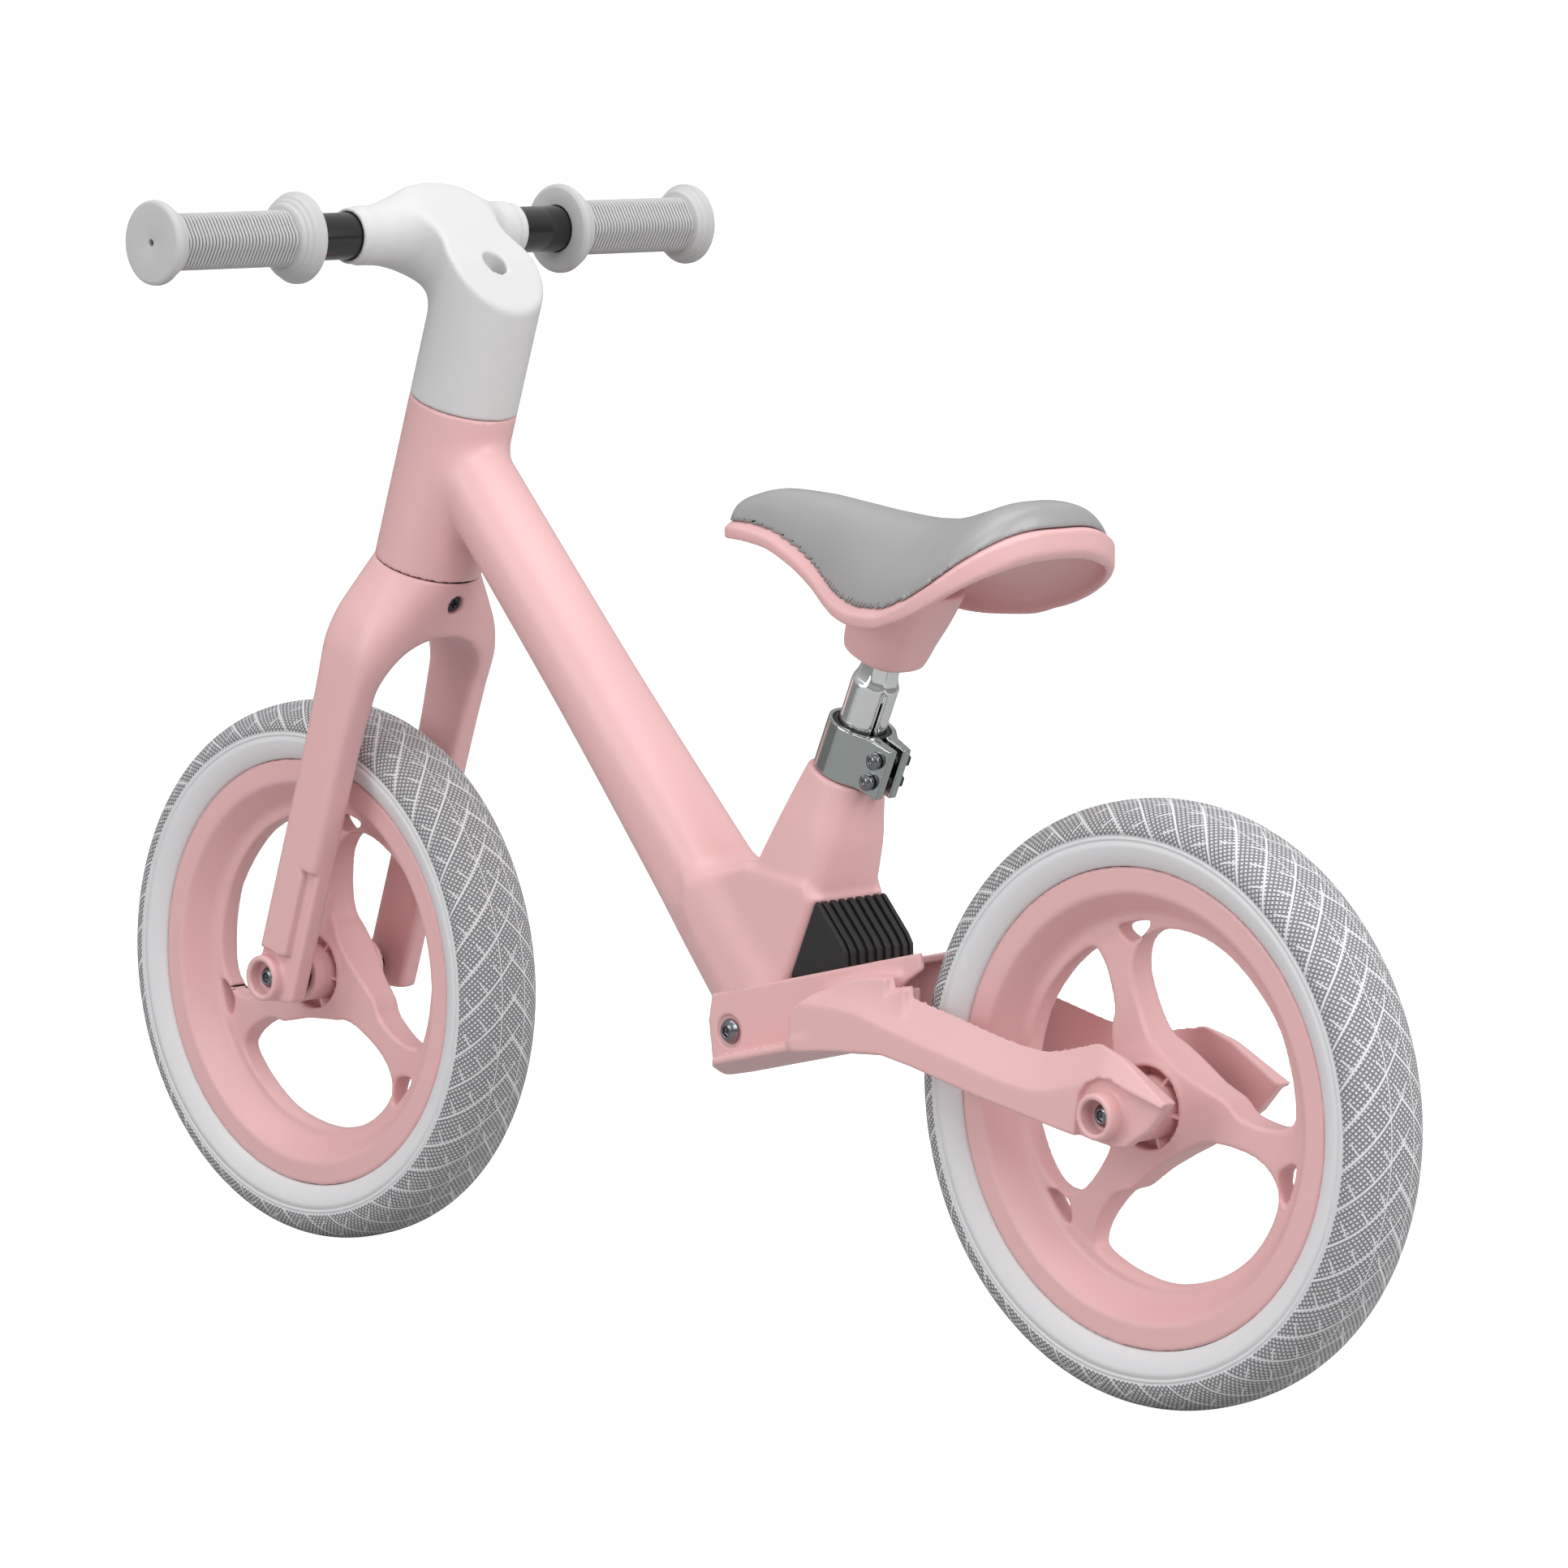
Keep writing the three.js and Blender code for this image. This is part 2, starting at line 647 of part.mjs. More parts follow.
function buildFork() {
  const top = HEAD_BOTTOM - SEAM / 2;
  const front = solid(frontPlate(forkFrontOutline(top), -HEAD_RADIUS - 1, HEAD_RADIUS + 1));
  const side = solid(plate(forkSideOutline(top), -BLADE_OUTER_Y - 1, BLADE_OUTER_Y + 1));
  const round = solid(
    loft([
      section(new THREE.Vector3(0, 0, -60), AXIS_X, 60, AXIS_Y, 80, 4),
      section(new THREE.Vector3(0, 0, CROWN_ARCH_TOP), AXIS_X, 38, AXIS_Y, 66, 3),
      section(new THREE.Vector3(0, 0, top), AXIS_X, HEAD_RADIUS, AXIS_Y, HEAD_RADIUS, 2),
    ]),
  );
  let fork = front.intersect(side).intersect(round);
  const level = into(steering, boxOf(0, WHEELBASE, -90, 90, -90, AXLE_Z - BLADE_DROP));
  fork = cut(fork, solid(level));
  for (const sign of [1, -1]) {
    const face = [sign * (BLADE_OUTER_Y - POCKET_DEPTH), sign * (BLADE_OUTER_Y + 9)];
    const [y0, y1] = face.sort((a, b) => a - b);
    const pocket = [
      [-BLADE_BACK - 6, -BLADE_DROP * 3],
      [BLADE_FRONT + 6, -BLADE_DROP * 3],
      [BLADE_FRONT + 6, 14],
      [-POCKET_BACK + 10, 15],
      [-POCKET_BACK, 20],
      [-POCKET_BACK, POCKET_HEIGHT],
      [-BLADE_BACK - 6, POCKET_HEIGHT],
    ];
    fork = cut(fork, solid(plate(pocket, y0, y1)));
    const boss = [sign * (BLADE_INNER_Y + 1), sign * FORK_BOSS_Y].sort((a, b) => a - b);
    fork = join(fork, solid(barY(FORK_BOSS_RADIUS, ...boss, FORK_OFFSET, 0, ROUND)));
    const recess = [sign * BOSS_SEAT_Y, sign * (FORK_BOSS_Y + 1)].sort((a, b) => a - b);
    fork = cut(fork, solid(barY(BOSS_RECESS_RADIUS, ...recess, FORK_OFFSET, 0, ROUND)));
  }
  const axleBore = barY(AXLE_RADIUS + CLEAR_BORE, -70, 70, FORK_OFFSET, 0);
  const socket = barZ(STEERER_RADIUS + GAP, CROWN_ARCH_TOP + 6, top + 1);
  const screwBore = crownScrewBar(CROWN_SCREW_RADIUS + CLEAR_BORE, -60, -STEERER_RADIUS + 4);
  const screwRecess = crownScrewBar(CROWN_SCREW_HEAD + 0.6, -60, -CROWN_SCREW_SEAT);
  fork = cut(fork, solid(axleBore), solid(socket), solid(screwBore), solid(screwRecess));
  piece("fork", fork, PINK, steering);
}

function crownScrewBar(radius, x0, x1) {
  return new THREE.CylinderGeometry(radius, radius, x1 - x0, SMALL)
    .rotateZ(Math.PI / 2)
    .translate((x0 + x1) / 2, 0, CROWN_SCREW_HEIGHT);
}

function buildSteerer() {
  const foot = CROWN_ARCH_TOP + 6 + GAP;
  const top = BAR_HEIGHT - SLEEVE_RADIUS - 8;
  const outer = solid(barZ(STEERER_RADIUS, foot, top));
  const inner = solid(barZ(STEERER_RADIUS - STEERER_WALL, foot - 1, top + 1));
  const tapped = solid(crownScrewBar(CROWN_SCREW_RADIUS + CLEAR_BORE, -STEERER_RADIUS - 2, 0));
  piece("steerer_tube", cut(outer, inner, tapped), STEEL, steering);

  const head = solid(crownScrewBar(CROWN_SCREW_HEAD, -CROWN_SCREW_SEAT - 3, -CROWN_SCREW_SEAT - GAP));
  const shank = solid(crownScrewBar(CROWN_SCREW_RADIUS, -CROWN_SCREW_SEAT - 1, -STEERER_RADIUS + 3.5));
  const slotFloor = -CROWN_SCREW_SEAT - 1.8;
  const [long, narrow] = CROWN_SCREW_SLOT.map((size) => size / 2);
  const slots = [
    boxOf(-40, slotFloor, -narrow, narrow, -long, long),
    boxOf(-40, slotFloor, -long, long, -narrow, narrow),
  ];
  const cross = slots.map((slot) => solid(slot.translate(0, 0, CROWN_SCREW_HEIGHT)));
  piece("crown_screw", cut(join(head, shank), ...cross), BLACK_STEEL, steering);
}

// ---------------------------------------------------------------- stem, handlebar, grips
function stemTopCut() {
  const outline = [
    [-HEAD_RADIUS - 3, STEM_FACET_BACK - 2.5],
    [0, STEM_FACET_AXIS],
    [BAR_FORWARD - 14, STEM_FACET_AXIS + 14],
    [BAR_FORWARD + 10, STEM_PEAK],
    [BAR_FORWARD + 60, STEM_PEAK + 1],
    [BAR_FORWARD + 60, STEM_PEAK + 60],
    [-HEAD_RADIUS - 3, STEM_PEAK + 60],
  ];
  return solid(plate(outline, -80, 80));
}

function buildStem() {
  const foot = HEAD_TOP + SEAM;
  const neck = solid(barZ(HEAD_RADIUS, foot, STEM_PEAK, 36));
  const stations = [
    // y, centre forward, centre height, half depth, half height
    [SLEEVE_END_Y, BAR_FORWARD, BAR_HEIGHT, SLEEVE_RADIUS, SLEEVE_RADIUS],
    [SLEEVE_END_Y - 13, BAR_FORWARD, BAR_HEIGHT, SLEEVE_RADIUS, SLEEVE_RADIUS],
    [33, BAR_FORWARD - 2, BAR_HEIGHT - 1, SLEEVE_RADIUS + 3, SLEEVE_RADIUS + 5],
    [18, BAR_FORWARD - 8, BAR_HEIGHT - 4, SLEEVE_RADIUS + 10, SLEEVE_RADIUS + 13],
    [0, BAR_FORWARD - 12, BAR_HEIGHT - 8, SLEEVE_RADIUS + 15, SLEEVE_RADIUS + 20],
  ];
  const all = [...stations, ...stations.slice(0, -1).reverse().map(([y, ...rest]) => [-y, ...rest])];
  const rings = all.map(([y, x, z, depth, height]) =>
    section(new THREE.Vector3(x, y, z), AXIS_X, depth, new THREE.Vector3(0, 0, 1), height, 2.2),
  );
  const bridge = plate(
    [
      [HEAD_RADIUS - 6, foot + 34],
      [HEAD_RADIUS + 4, foot + 46],
      [BAR_FORWARD, BAR_HEIGHT - 18],
      [BAR_FORWARD, BAR_HEIGHT],
      [0, BAR_HEIGHT],
    ],
    -HEAD_RADIUS * 0.7,
    HEAD_RADIUS * 0.7,
  );
  let stem = join(neck, solid(loft(rings)), solid(bridge));
  stem = cut(stem, stemTopCut());
  const barBore = barY(BAR_RADIUS + GAP, -90, 90, BAR_FORWARD, BAR_HEIGHT, ROUND);
  const steererTop = BAR_HEIGHT - SLEEVE_RADIUS - 8;
  const steererBore = barZ(STEERER_RADIUS + GAP, foot - 1, steererTop + GAP);
  const screwHole = barZ(SCREW_HOLE_RADIUS, foot, STEM_PEAK + 40, SMALL);
  stem = cut(stem, solid(barBore), solid(steererBore), solid(screwHole));
  piece("stem", stem, LIGHT_GREY, steering);

  const headZ = steererTop + 1;
  const washer = cut(
    solid(barZ(SCREW_HOLE_RADIUS - GAP, headZ - 2, headZ, SMALL)),
    solid(barZ(AXLE_RADIUS, headZ - 3, headZ + 1, SMALL)),
  );
  piece("stem_washer", washer, STEEL, steering);
  const head = solid(barZ(SCREW_HOLE_RADIUS - 0.8, headZ + GAP, headZ + 7, SMALL));
  const shank = solid(barZ(AXLE_RADIUS - 0.5, HEAD_TOP - 20, headZ + 2, SMALL));
  const socket = barZ((HEX_SOCKET / 2) * HEX_CORNER, headZ + 3.5, headZ + 8, NUT_OUTLINE_SIDES);
  piece("stem_bolt", cut(join(head, shank), solid(socket)), BLACK_STEEL, steering);
  const plug = cut(
    solid(barZ(STEERER_RADIUS - STEERER_WALL - GAP, HEAD_TOP - 14, HEAD_TOP + 6)),
    solid(barZ(AXLE_RADIUS - 0.5 + GAP, HEAD_TOP - 15, HEAD_TOP + 7, SMALL)),
  );
  piece("stem_expander", plug, STEEL, steering);
}

function buildHandlebar() {
  const outer = barY(BAR_RADIUS, -BAR_HALF_LENGTH, BAR_HALF_LENGTH, BAR_FORWARD, BAR_HEIGHT, ROUND);
  const inner = barY(BAR_RADIUS - BAR_WALL, -200, 200, BAR_FORWARD, BAR_HEIGHT, ROUND);
  piece("handlebar", cut(solid(outer), solid(inner)), BLACK_STEEL, steering);
}

function buildGrip(name, sign) {
  const bar = (radius, y0, y1, sides = ROUND) =>
    solid(barY(radius, ...[sign * y0, sign * y1].sort((a, b) => a - b), BAR_FORWARD, BAR_HEIGHT, sides));
  const flangeEnd = GRIP_INNER_Y + GRIP_DISC_THICKNESS;
  const capStart = GRIP_OUTER_Y - GRIP_DISC_THICKNESS;
  const barrel = bar((GRIP_FLATS / 2) * HEX_CORNER, GRIP_INNER_Y + 1, GRIP_OUTER_Y - 1, NUT_OUTLINE_SIDES);
  const steps = [1, 2, 3].map((i) =>
    bar(
      GRIP_INNER_DISC - i * 2.1,
      flangeEnd - 0.5,
      flangeEnd + i * GRIP_STEP_WIDTH,
    ),
  );
  const flange = bar(GRIP_INNER_DISC, GRIP_INNER_Y, flangeEnd);
  const cap = bar(GRIP_OUTER_DISC, capStart, GRIP_OUTER_Y);
  const capStep = bar(GRIP_OUTER_DISC - 2, capStart - GRIP_STEP_WIDTH, capStart + 0.5);
  const bore = bar(BAR_RADIUS + GAP, GRIP_INNER_Y - 1, BAR_HALF_LENGTH + GAP);
  const vent = bar(1.8, BAR_HALF_LENGTH - 1, GRIP_OUTER_Y + 1, 12);
  const grip = cut(join(barrel, flange, ...steps, capStep, cap), bore, vent);
  piece(name, grip, LIGHT_GREY, steering);
}

// ---------------------------------------------------------------- main frame
function headTubeSolid() {
  const body = barZ(HEAD_RADIUS, HEAD_BOTTOM + SEAM / 2, HEAD_TOP, 36);
  return solid(outOf(steering, body));
}

function headBoreSolid() {
  const through = barZ(STEERER_RADIUS + 2, HEAD_BOTTOM - 5, HEAD_TOP + 5);
  const lower = barZ(BUSH_OD / 2 + GAP, HEAD_BOTTOM - 5, HEAD_BOTTOM + BUSH_DEPTH + GAP);
  const upper = barZ(BUSH_OD / 2 + GAP, HEAD_TOP - BUSH_DEPTH - GAP, HEAD_TOP + 5);
  return join(...[through, lower, upper].map((g) => solid(outOf(steering, g))));
}

function downTubeSolid() {
  const top = at(DOWN_TUBE_TOP);
  const end = at(DOWN_TUBE_END);
  const along = end.clone().sub(top).normalize();
  const across = new THREE.Vector3().crossVectors(AXIS_Y, along).normalize();
  const length = end.distanceTo(top);
  const stations = [
    [0, 0, 2],
    [0.45, 0.2, 2],
    [0.8, 0.7, 2.5],
    [1, 1, 3.2],
  ];
  const rings = stations.map(([t, grow, power]) => {
    const centre = top.clone().addScaledVector(along, t * length);
    const tall = THREE.MathUtils.lerp(DOWN_TUBE_RADIUS, DOWN_TUBE_FOOT_RADIUS, grow);
    const wide = THREE.MathUtils.lerp(DOWN_TUBE_RADIUS, BASE_HALF_WIDTH, grow);
    return section(centre, across, tall, AXIS_Y, wide, power);
  });
  return solid(loft(rings));
}

// The seat tube, round at the clamp and boxed at its foot, with a flat rear face.
function seatTubeSolid() {
  const up = new THREE.Vector3(0, 0, 1);
  const stations = [
    // height, back, front, half width, squareness
    [-112, 27.4, 26, BASE_HALF_WIDTH, 5],
    [-64, 27.2, 22, BASE_HALF_WIDTH - 1.2, 4],
    [-30, 22.6, 18.4, 21.5, 2.8],
    [-0.5, SEAT_TUBE_RADIUS, SEAT_TUBE_RADIUS, SEAT_TUBE_RADIUS, 2],
  ];
  const rings = stations.map(([z, back, front, width, power]) =>
    section(
      up.clone().multiplyScalar(z).setX((front - back) / 2),
      AXIS_X,
      (front + back) / 2,
      AXIS_Y,
      width,
      power,
    ),
  );
  const neck = barZ(NECK_RADIUS, -6, CLAMP_HEIGHT - SHIM_HEIGHT - GAP, 36);
  const behind = plate(
    [FRAME_REAR_TOP, FRAME_REAR_FOOT, [-70, seamHeight(-70) - 40], [-190, 120], [-190, 240]],
    -60,
    60,
  );
  return cut(join(solid(outOf(seat, loft(rings))), solid(outOf(seat, neck))), solid(behind));
}

function baseSolid() {
  const under = (x) => seamHeight(x) - BASE_INSERT;
  const front = SEAM_POINT[0] + 11;
  const outline = [
    [front, under(front)],
    [front + 14, seamHeight(front) + 12],
    [12, 236],
    [-27, 242],
    [-45, 249],
    [FRAME_REAR_TOP[0] + 6, 243],
    FRAME_REAR_TOP,
    FRAME_REAR_FOOT,
    [FRAME_REAR_FOOT[0] + 2, under(FRAME_REAR_FOOT[0])],
  ];
  return solid(plate(outline.reverse(), -BASE_HALF_WIDTH + 0.4, BASE_HALF_WIDTH - 0.4));
}

function lugSolid() {
  const [x, z] = PIVOT;
  const web = plate(
    [
      [x - LUG_RADIUS, z],
      [x + LUG_RADIUS, z],
      [x + LUG_RADIUS, seamHeight(x) + 4],
      [x - LUG_RADIUS, seamHeight(x) + 4],
    ],
    -LUG_HALF_WIDTH,
    LUG_HALF_WIDTH,
  );
  const eye = barY(LUG_RADIUS, -LUG_HALF_WIDTH, LUG_HALF_WIDTH, x, z, ROUND);
  return join(solid(web), solid(eye));
}

function buildMainFrame() {
  const below = plate(
    [
      [80, seamHeight(80) - BASE_INSERT],
      [-200, seamHeight(-200) - BASE_INSERT],
      [-200, 60],
      [80, 60],
    ].reverse(),
    -60,
    60,
  );
  const body = cut(join(downTubeSolid(), seatTubeSolid(), baseSolid()), solid(below));
  const bushBore = BUSH_WALL + PIVOT_SLEEVE_DIAMETER / 2 + 2 * CLEAR_BORE;
  const slit = boxOf(-60, 0, -CLAMP_SLOT / 2, CLAMP_SLOT / 2, 2, CLAMP_HEIGHT + 5);
  const frame = cut(
    join(headTubeSolid(), body, lugSolid()),
    headBoreSolid(),
    solid(outOf(seat, barZ(NECK_BORE, -POST_BORE_DEPTH, CLAMP_HEIGHT + 5, ROUND))),
    solid(outOf(seat, slit)),
    solid(barY(bushBore, -60, 60, ...PIVOT, ROUND)),
  );
  piece("main_frame", frame, PINK);
}

function buildHeadBushes() {
  const bore = solid(barZ(STEERER_RADIUS + CLEAR_BORE, HEAD_BOTTOM - 20, HEAD_TOP + 20));
  const lips = [
    ["lower_headset_bush", HEAD_BOTTOM, HEAD_BOTTOM + BUSH_DEPTH],
    ["upper_headset_bush", HEAD_TOP - BUSH_DEPTH, HEAD_TOP],
  ];
  for (const [name, z0, z1] of lips) {
    piece(name, cut(solid(barZ(BUSH_OD / 2, z0, z1)), bore), BLACK_PLASTIC);
    bike.children[bike.children.length - 1].applyMatrix4(steering.matrixWorld);
  }
}

// ---------------------------------------------------------------- seat clamp, post, saddle
function clampOutline() {
  const arc = [];
  for (let i = -10; i <= 10; i++) {
    const angle = (i * Math.PI) / 20;
    arc.push([CLAMP_RADIUS * Math.cos(angle), CLAMP_RADIUS * Math.sin(angle)]);
  }
  const ears = [
    [-10, CLAMP_RADIUS - 1],
    [-EAR_REACH, EAR_OUTER_Y],
    [-EAR_REACH, -EAR_OUTER_Y],
    [-10, 1 - CLAMP_RADIUS],
  ];
  return [...arc, ...ears];
}

function clampBoltBar(radius, y0, y1, z, sides = SMALL) {
  return barY(radius, y0, y1, -CLAMP_BOLT_X, z, sides);
}

function buildClamp() {
  const foot = GAP;
  const band = solid(prism(clampOutline(), CLAMP_HEIGHT - foot).translate(0, 0, foot));
  const bore = solid(barZ(CLAMP_BORE, -5, CLAMP_HEIGHT + 5, 36));
  const slot = solid(boxOf(-EAR_REACH - 5, 0, -CLAMP_SLOT / 2, CLAMP_SLOT / 2, -5, CLAMP_HEIGHT + 5));
  let clamp = cut(band, bore, slot);
  const boltRadius = CLAMP_BOLT_DIAMETER / 2;
  const reach = CLAMP_SEAT_Y + 4;
  CLAMP_BOLT_HEIGHTS.forEach((z, i) => {
    const where = ["lower", "upper"][i];
    clamp = cut(
      clamp,
      solid(clampBoltBar(boltRadius + CLEAR_BORE, -40, 40, z)),
      solid(clampBoltBar(CLAMP_HEAD_DIAMETER / 2 + 0.5, CLAMP_SEAT_Y, 40, z)),
      solid(clampBoltBar(CLAMP_HEAD_DIAMETER / 2 + 0.5, -40, -CLAMP_SEAT_Y, z)),
    );
    const head = clampBoltBar(
      CLAMP_HEAD_DIAMETER / 2,
      CLAMP_SEAT_Y + GAP,
      CLAMP_SEAT_Y + CLAMP_HEAD_HEIGHT,
      z,
    );
    const shank = clampBoltBar(boltRadius, -reach, CLAMP_SEAT_Y + 1, z);
    const socket = clampBoltBar(2.3, CLAMP_SEAT_Y + 2, CLAMP_SEAT_Y + 9, z, NUT_OUTLINE_SIDES);
    const bolt = cut(join(solid(head), solid(shank)), solid(socket));
    piece("clamp_bolt_" + where, bolt, STEEL, seat);
    const nut = cut(
      solid(clampBoltBar(CLAMP_HEAD_DIAMETER / 2, -reach + 0.8, -CLAMP_SEAT_Y - GAP, z, NUT_OUTLINE_SIDES)),
      solid(clampBoltBar(boltRadius + CLEAR_BORE, -40, 0, z)),
    );
    piece("clamp_nut_" + where, nut, BLACK_STEEL, seat);
  });
  piece("seat_clamp", clamp, STEEL, seat);
  const shim = cut(
    solid(barZ(NECK_RADIUS, CLAMP_HEIGHT - SHIM_HEIGHT, CLAMP_HEIGHT - 0.6, 36)),
    solid(barZ(NECK_BORE, 0, CLAMP_HEIGHT + 5)),
  );
  piece("seat_post_shim", shim, BLACK_PLASTIC, seat);
}

function buildSeatPost() {
  const profile = [
    [0, -POST_DEPTH],
    [POST_RADIUS, -POST_DEPTH],
    [POST_RADIUS, POST_SHOULDER],
    [POST_NECK_RADIUS, POST_SHOULDER + 9],
    [POST_NECK_RADIUS, POST_TOP],
    [0, POST_TOP],
  ].map(([r, y]) => new THREE.Vector2(r, y));
  const body = solid(new THREE.LatheGeometry(profile, ROUND).rotateX(Math.PI / 2));
  const bore = solid(barZ(POST_RADIUS - 2, -POST_DEPTH - 1, POST_SHOULDER - 4));
  const screw = solid(barZ(SADDLE_SCREW_RADIUS + CLEAR_BORE, 0, POST_TOP + 1, SMALL));
  piece("seat_post", cut(body, bore, screw), CHROME, seat);
}

// Rings across the saddle: the rim falls away either side of a crowned centre line.
function saddleRing([x, halfWidth, rim], crest, drop) {
  const ring = [];
  const side = 6;
  for (let i = -side; i <= side; i++) {
    const share = i / side;
    const lift = (crest - rim) * (1 - Math.abs(share) ** 2.4);
    ring.push(new THREE.Vector3(x, halfWidth * share, rim + lift));
  }
  for (let i = side - 1; i > -side; i--) {
    const share = i / side;
    const lift = drop(share, rim, crest);
    ring.push(new THREE.Vector3(x, halfWidth * share, lift));
  }
  return ring;
}

function padSolid() {
  const rings = SADDLE_STATIONS.map(([x, halfWidth, rim], i) => {
    const width = Math.max(halfWidth - PAD_INSET, 1.5);
    const inside = THREE.MathUtils.lerp(x, SADDLE_MIDDLE, PAD_INSET / SADDLE_HALF_LENGTH);
    const crest = PAD_CREST[i][1];
    const floor = (share) => rim - 3 + (crest - rim) * 0.45 * (1 - share * share);
    return saddleRing([inside, width, rim], crest, floor);
  });
  return solid(loft(rings));
}

function shellTrough() {
  const rings = SADDLE_STATIONS.map(([x, halfWidth, rim], i) => {
    const crest = PAD_CREST[i][1];
    const dip = (share) => rim - SHELL_THICKNESS + (crest - rim) * 0.3 * (1 - share * share);
    return saddleRing([x, halfWidth, rim], rim + (crest - rim) * 0.34, dip);
  });
  return solid(loft(rings));
}

function buildSaddle() {
  const pad = padSolid();
  const bracketRings = [
    [BRACKET_FOOT, BRACKET_BACK - 4, BRACKET_FRONT - 4, 17],
    [BRACKET_FOOT + 4, BRACKET_BACK, BRACKET_FRONT, 20],
    [BRACKET_FOOT + 26, BRACKET_BACK + 16, BRACKET_FRONT + 2, 27],
    [BRACKET_FOOT + 43, BRACKET_BACK + 30, BRACKET_FRONT + 4, 30],
  ].map(([z, back, front, width]) =>
    section(new THREE.Vector3((front - back) / 2, 0, z), AXIS_X, (front + back) / 2, AXIS_Y, width, 3),
  );
  const bracket = solid(outOf(seat, loft(bracketRings)));
  const socket = barZ(POST_NECK_RADIUS + GAP, 0, POST_TOP + GAP);
  const mouth = barZ(POST_RADIUS + 0.8, 0, BRACKET_FOOT + 1);
  const screw = barZ(SADDLE_SCREW_RADIUS + CLEAR_BORE, 0, POST_TOP + 60, SMALL);
  const well = barZ(SADDLE_SCREW_RADIUS + 3.5, POST_TOP + 10, POST_TOP + 60, SMALL);
  const shell = cut(
    join(shellTrough(), bracket),
    padHalo(pad),
    ...[socket, mouth, screw, well].map((g) => solid(outOf(seat, g))),
  );
  const biggest = shell.decompose().sort((a, b) => b.volume() - a.volume())[0];
  piece("saddle_shell", biggest, PINK);
  piece("saddle_pad", cut(pad, solid(outOf(seat, barZ(7.5, 0, POST_TOP + 22, SMALL)))), PAD_GREY);
  const screwHead = solid(barZ(SADDLE_SCREW_RADIUS + 2.6, POST_TOP + 10 + GAP, POST_TOP + 14, SMALL));
  const screwShank = solid(barZ(SADDLE_SCREW_RADIUS, POST_SHOULDER - 2, POST_TOP + 12, SMALL));
  piece("saddle_screw", join(screwHead, screwShank), STEEL, seat);
}

// The pad grown by the seating gap and carried upwards, which the shell is cut back from.
function padHalo(pad) {
  const grow = [1 + (2 * GAP) / SADDLE_HALF_LENGTH, 1 + (4 * GAP) / SADDLE_HALF_LENGTH, 1];
  const grown = pad
    .translate([-SADDLE_MIDDLE, 0, 0])
    .scale(grow)
    .translate([SADDLE_MIDDLE, 0, 0]);
  const lifts = [-2 * GAP, 0, SHELL_THICKNESS / 3, SHELL_THICKNESS];
  const raised = lifts.map((lift) => grown.translate([0, 0, lift]));
  return join(...raised);
}

// ---------------------------------------------------------------- chassis, stays, rubber block
function wallOutline() {
  const [frontX, frontZ] = SEAM_POINT;
  const low = (x) => plateTop(x) - 2;
  return [
    [frontX, frontZ],
    [WALL_REAR_X, seamHeight(WALL_REAR_X) - 2],
    [WALL_REAR_X - 2, seamHeight(WALL_REAR_X) - 9],
    [WALL_REAR_X + 30, seamHeight(WALL_REAR_X) - 22],
    [WALL_REAR_X + 34, low(WALL_REAR_X + 34) - 6],
    [PLATE_NOSE_X - 1, low(PLATE_NOSE_X)],
    [frontX + 2.5, frontZ - 12],
  ];
}

// The footrest plate: a shallow keel under a flat top, its front corners cut back.
function footPlateSolid() {
  const rear = STAY_OUTLINE[STAY_OUTLINE.length - 2][0] + 4;
  const length = PLATE_NOSE_X - rear;
  const profile = [
    [-PLATE_HALF_WIDTH, 0],
    [-PLATE_HALF_WIDTH, -PLATE_LIP],
    [-PLATE_NOSE_HALF_WIDTH, -PLATE_KEEL],
    [PLATE_NOSE_HALF_WIDTH, -PLATE_KEEL],
    [PLATE_HALF_WIDTH, -PLATE_LIP],
    [PLATE_HALF_WIDTH, 0],
  ];
  const shear = new THREE.Matrix4().set(1, 0, 0, 0, 0, 1, 0, 0, -CHASSIS_SLOPE, 0, 1, 0, 0, 0, 0, 1);
  const slab = frontPlate(profile.reverse(), 0, length)
    .applyMatrix4(shear)
    .translate(rear, 0, plateTop(rear));
  const corners = [1, -1].map((sign) => {
    const outline = [
      [PLATE_NOSE_X, sign * PLATE_NOSE_HALF_WIDTH],
      [PLATE_FRONT_X, sign * PLATE_HALF_WIDTH],
      [PLATE_FRONT_X, sign * (PLATE_HALF_WIDTH + 9)],
      [PLATE_NOSE_X + 9, sign * (PLATE_HALF_WIDTH + 9)],
      [PLATE_NOSE_X + 9, sign * PLATE_NOSE_HALF_WIDTH],
    ];
    return solid(prism(sign > 0 ? outline.reverse() : outline, 200).translate(0, 0, 50));
  });
  return cut(solid(slab), ...corners);
}

